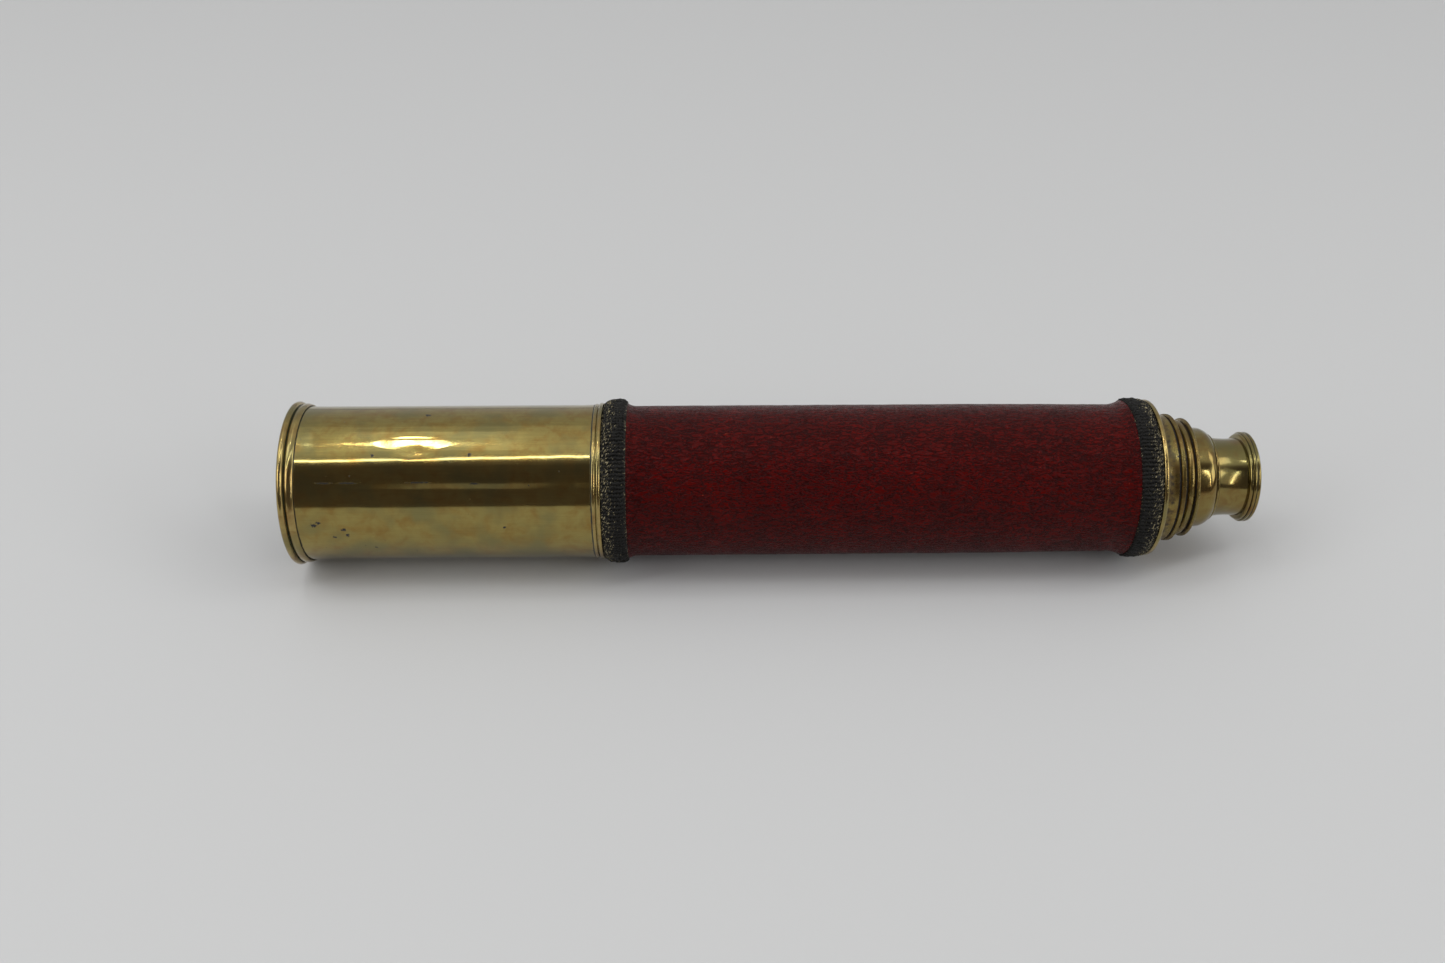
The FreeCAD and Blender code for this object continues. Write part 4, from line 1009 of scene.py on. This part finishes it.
# ---------------------------------------------------------------- eye end
# The domed collar on the third draw, the waisted neck that screws into it, and the reeded cup.
eye_brass = old_brass(
    "turned_eye_brass", ("#8A7A46", "#785C30", "#7A7144"), 0.11, 5.0, 1.0, "#1C1A12", wax=0.2,
)
dome_start, dome_end, dome_radius = ends_and_radius("eyepiece_collar")
dome_straight, dome_drop, dome_bead = 4.3, 1.7, 1.1
dome_bead_radius = 16.85
neck_bore = 13.62
dome_seat = 6.0
dome_round = dome_start + dome_straight
dome_shoulder = dome_end - dome_bead
shoulder_radius = dome_radius - dome_drop
dome_crown = 0.03  # its straight part is a little rounded
domed = turned("eye_collar", [
    (dome_start, dome_radius - edge_break), (dome_start + edge_break, dome_radius - 0.02),
] + arc(
    (dome_start + edge_break, dome_radius - 0.02), (dome_start + 1.6, dome_radius),
    (dome_round, dome_radius - dome_crown), 10,
)[1:] + arc(
    (dome_round, dome_radius - dome_crown),
    (dome_round + 0.64 * (dome_shoulder - dome_round), dome_radius - 0.38 * dome_drop),
    (dome_shoulder, shoulder_radius), 12,
)[1:] + [(dome_shoulder, dome_bead_radius - edge_break)] + arc(
    (dome_shoulder, dome_bead_radius - edge_break),
    (dome_end - dome_bead / 2, dome_bead_radius), (dome_end, dome_bead_radius - edge_break), 6,
)[1:] + [
    (dome_end, neck_bore), (dome_start + dome_seat, neck_bore),
    (dome_start + dome_seat, tube_3 + solder_gap), (dome_start, tube_3 + solder_gap),
], ease=0.08, grimy=[(dome_shoulder, shoulder_radius - 0.2)])
fit(domed, eye_brass, "draw_3", "collar_brass", "eyepiece_collar")

neck_start, neck_end, neck_radius = ends_and_radius("eyepiece_neck")
neck_taper, neck_waist = 0.55, 0.48
neck = turned("eye_neck", arc(
    (neck_start, neck_radius),
    ((neck_start + neck_end) / 2, neck_radius - neck_taper / 2 - neck_waist),
    (neck_end, neck_radius - neck_taper), 20,
) + [(neck_end, neck_bore), (neck_start, neck_bore)], ease=0.05)
fit(neck, eye_brass, "draw_3", "collar_brass", "eyepiece_neck")

cup_back, cup_face, cup_radius = ends_and_radius("eye_cup")
rim_back = neck_end + solder_gap
rim_shoulder, rim_shoulder_drop, rim_foot_drop = 1.2, 0.55, 1.5
land_width, land_groove, land_groove_depth, land_count = 0.95, 0.3, 0.3, 2
land_crown = 0.08  # how far a land is rounded across its width
rim_round, rim_round_drop = 0.7, 1.75
foot_radius, rim_shoulder_radius = cup_radius - rim_foot_drop, cup_radius - rim_shoulder_drop
shoulder_end = neck_end + rim_shoulder
reeds = arc(
    (rim_back, foot_radius), (rim_back + 0.3 * rim_shoulder, (foot_radius + rim_shoulder_radius) / 2 + 0.2),
    (shoulder_end, rim_shoulder_radius), 10,
)
groove_x, before_radius = shoulder_end, rim_shoulder_radius
grooves = []
for i in range(land_count):
    land_x = groove_x + land_groove
    grooves.append((groove_x + land_groove / 2, before_radius - land_groove_depth))
    land_middle = land_x + land_width / 2
    reeds.append(grooves[-1])
    reeds += arc(
        (land_x, cup_radius - land_crown), (land_middle, cup_radius),
        (land_x + land_width, cup_radius - land_crown), 6,
    )
    groove_x, before_radius = land_x + land_width, cup_radius
face_radius = cup_radius - rim_round_drop
reeds += arc(
    (groove_x, cup_radius - land_crown), (groove_x + 0.62 * rim_round, cup_radius - 0.37 * rim_round_drop),
    (cup_face, face_radius), 10,
)[1:]
dish_radius, dish_depth, dish_corner = cup_radius - 3.5, 5.0, 2.5
hole_radius = 4.5
dish = [
    (cup_face - dish_depth + dish_corner * (1 - math.sin(turn)),
     dish_radius - dish_corner * (1 - math.cos(turn)))
    for turn in np.linspace(0, math.pi / 2, 9)
]
cup = turned("eye_cap", [
    (cup_back, hole_radius), (cup_back, neck_bore - solder_gap), (rim_back, neck_bore - solder_gap),
] + reeds + [
    (cup_face, dish_radius + edge_break), (cup_face - edge_break, dish_radius),
] + dish + [(cup_face - dish_depth, hole_radius)], ease=0.06, grimy=grooves)
fit(cup, eye_brass, "draw_3", "collar_brass", "eye_cup")

# ---------------------------------------------------------------- glass
# The objective's crown and flint, the erecting lenses and the eyepiece's two lenses.
glass, tree, output = new_material("crown_glass")
shader = add(tree, "ShaderNodeBsdfPrincipled", {
    "Base Color": linear("#EEF4F0"), "Roughness": 0.02, "IOR": 1.52, "Transmission Weight": 1.0,
})
tree.links.new(shader.outputs["BSDF"], output.inputs["Surface"])

# ---------------------------------------------------------------- hidden brass
# Sleeves, rings, cells and stops inside the tubes, left as they came from the lathe or blackened.
blackened, tree, output = new_material("blackened_brass")
place = add(tree, "ShaderNodeTexCoord").outputs["Object"]
lacquer = add(tree, "ShaderNodeTexNoise", {"Vector": place, "Scale": 1 / (2.0 * MM), "Detail": 4.0})
black_tone = add(tree, "ShaderNodeMix", {
    0: lacquer.outputs["Fac"], 6: linear("#141312"), 7: linear("#2A2622"),
}, data_type="RGBA")
shader = add(tree, "ShaderNodeBsdfPrincipled", {
    "Base Color": black_tone.outputs[2], "Roughness": 0.55, "Metallic": 0.0,
})
tree.links.new(shader.outputs["BSDF"], output.inputs["Surface"])

plain_brass = old_brass("plain_turned_brass", ("#B79E60", "#9C7F48", "#978B55"), 0.22, 6.0, 1.0)
slot_materials = {
    "glass": glass, "blackened_brass": blackened, "spring_brass": plain_brass,
    "draw_brass": draw_brass, "barrel_brass": plain_brass,
}
for subpart in frame["record"]["subparts"]:
    node = frame["nodes"][subpart["node"]]
    material = slot_materials.get(subpart["material_slot"])
    if material:
        node.data.materials.clear()
        node.data.materials.append(material)
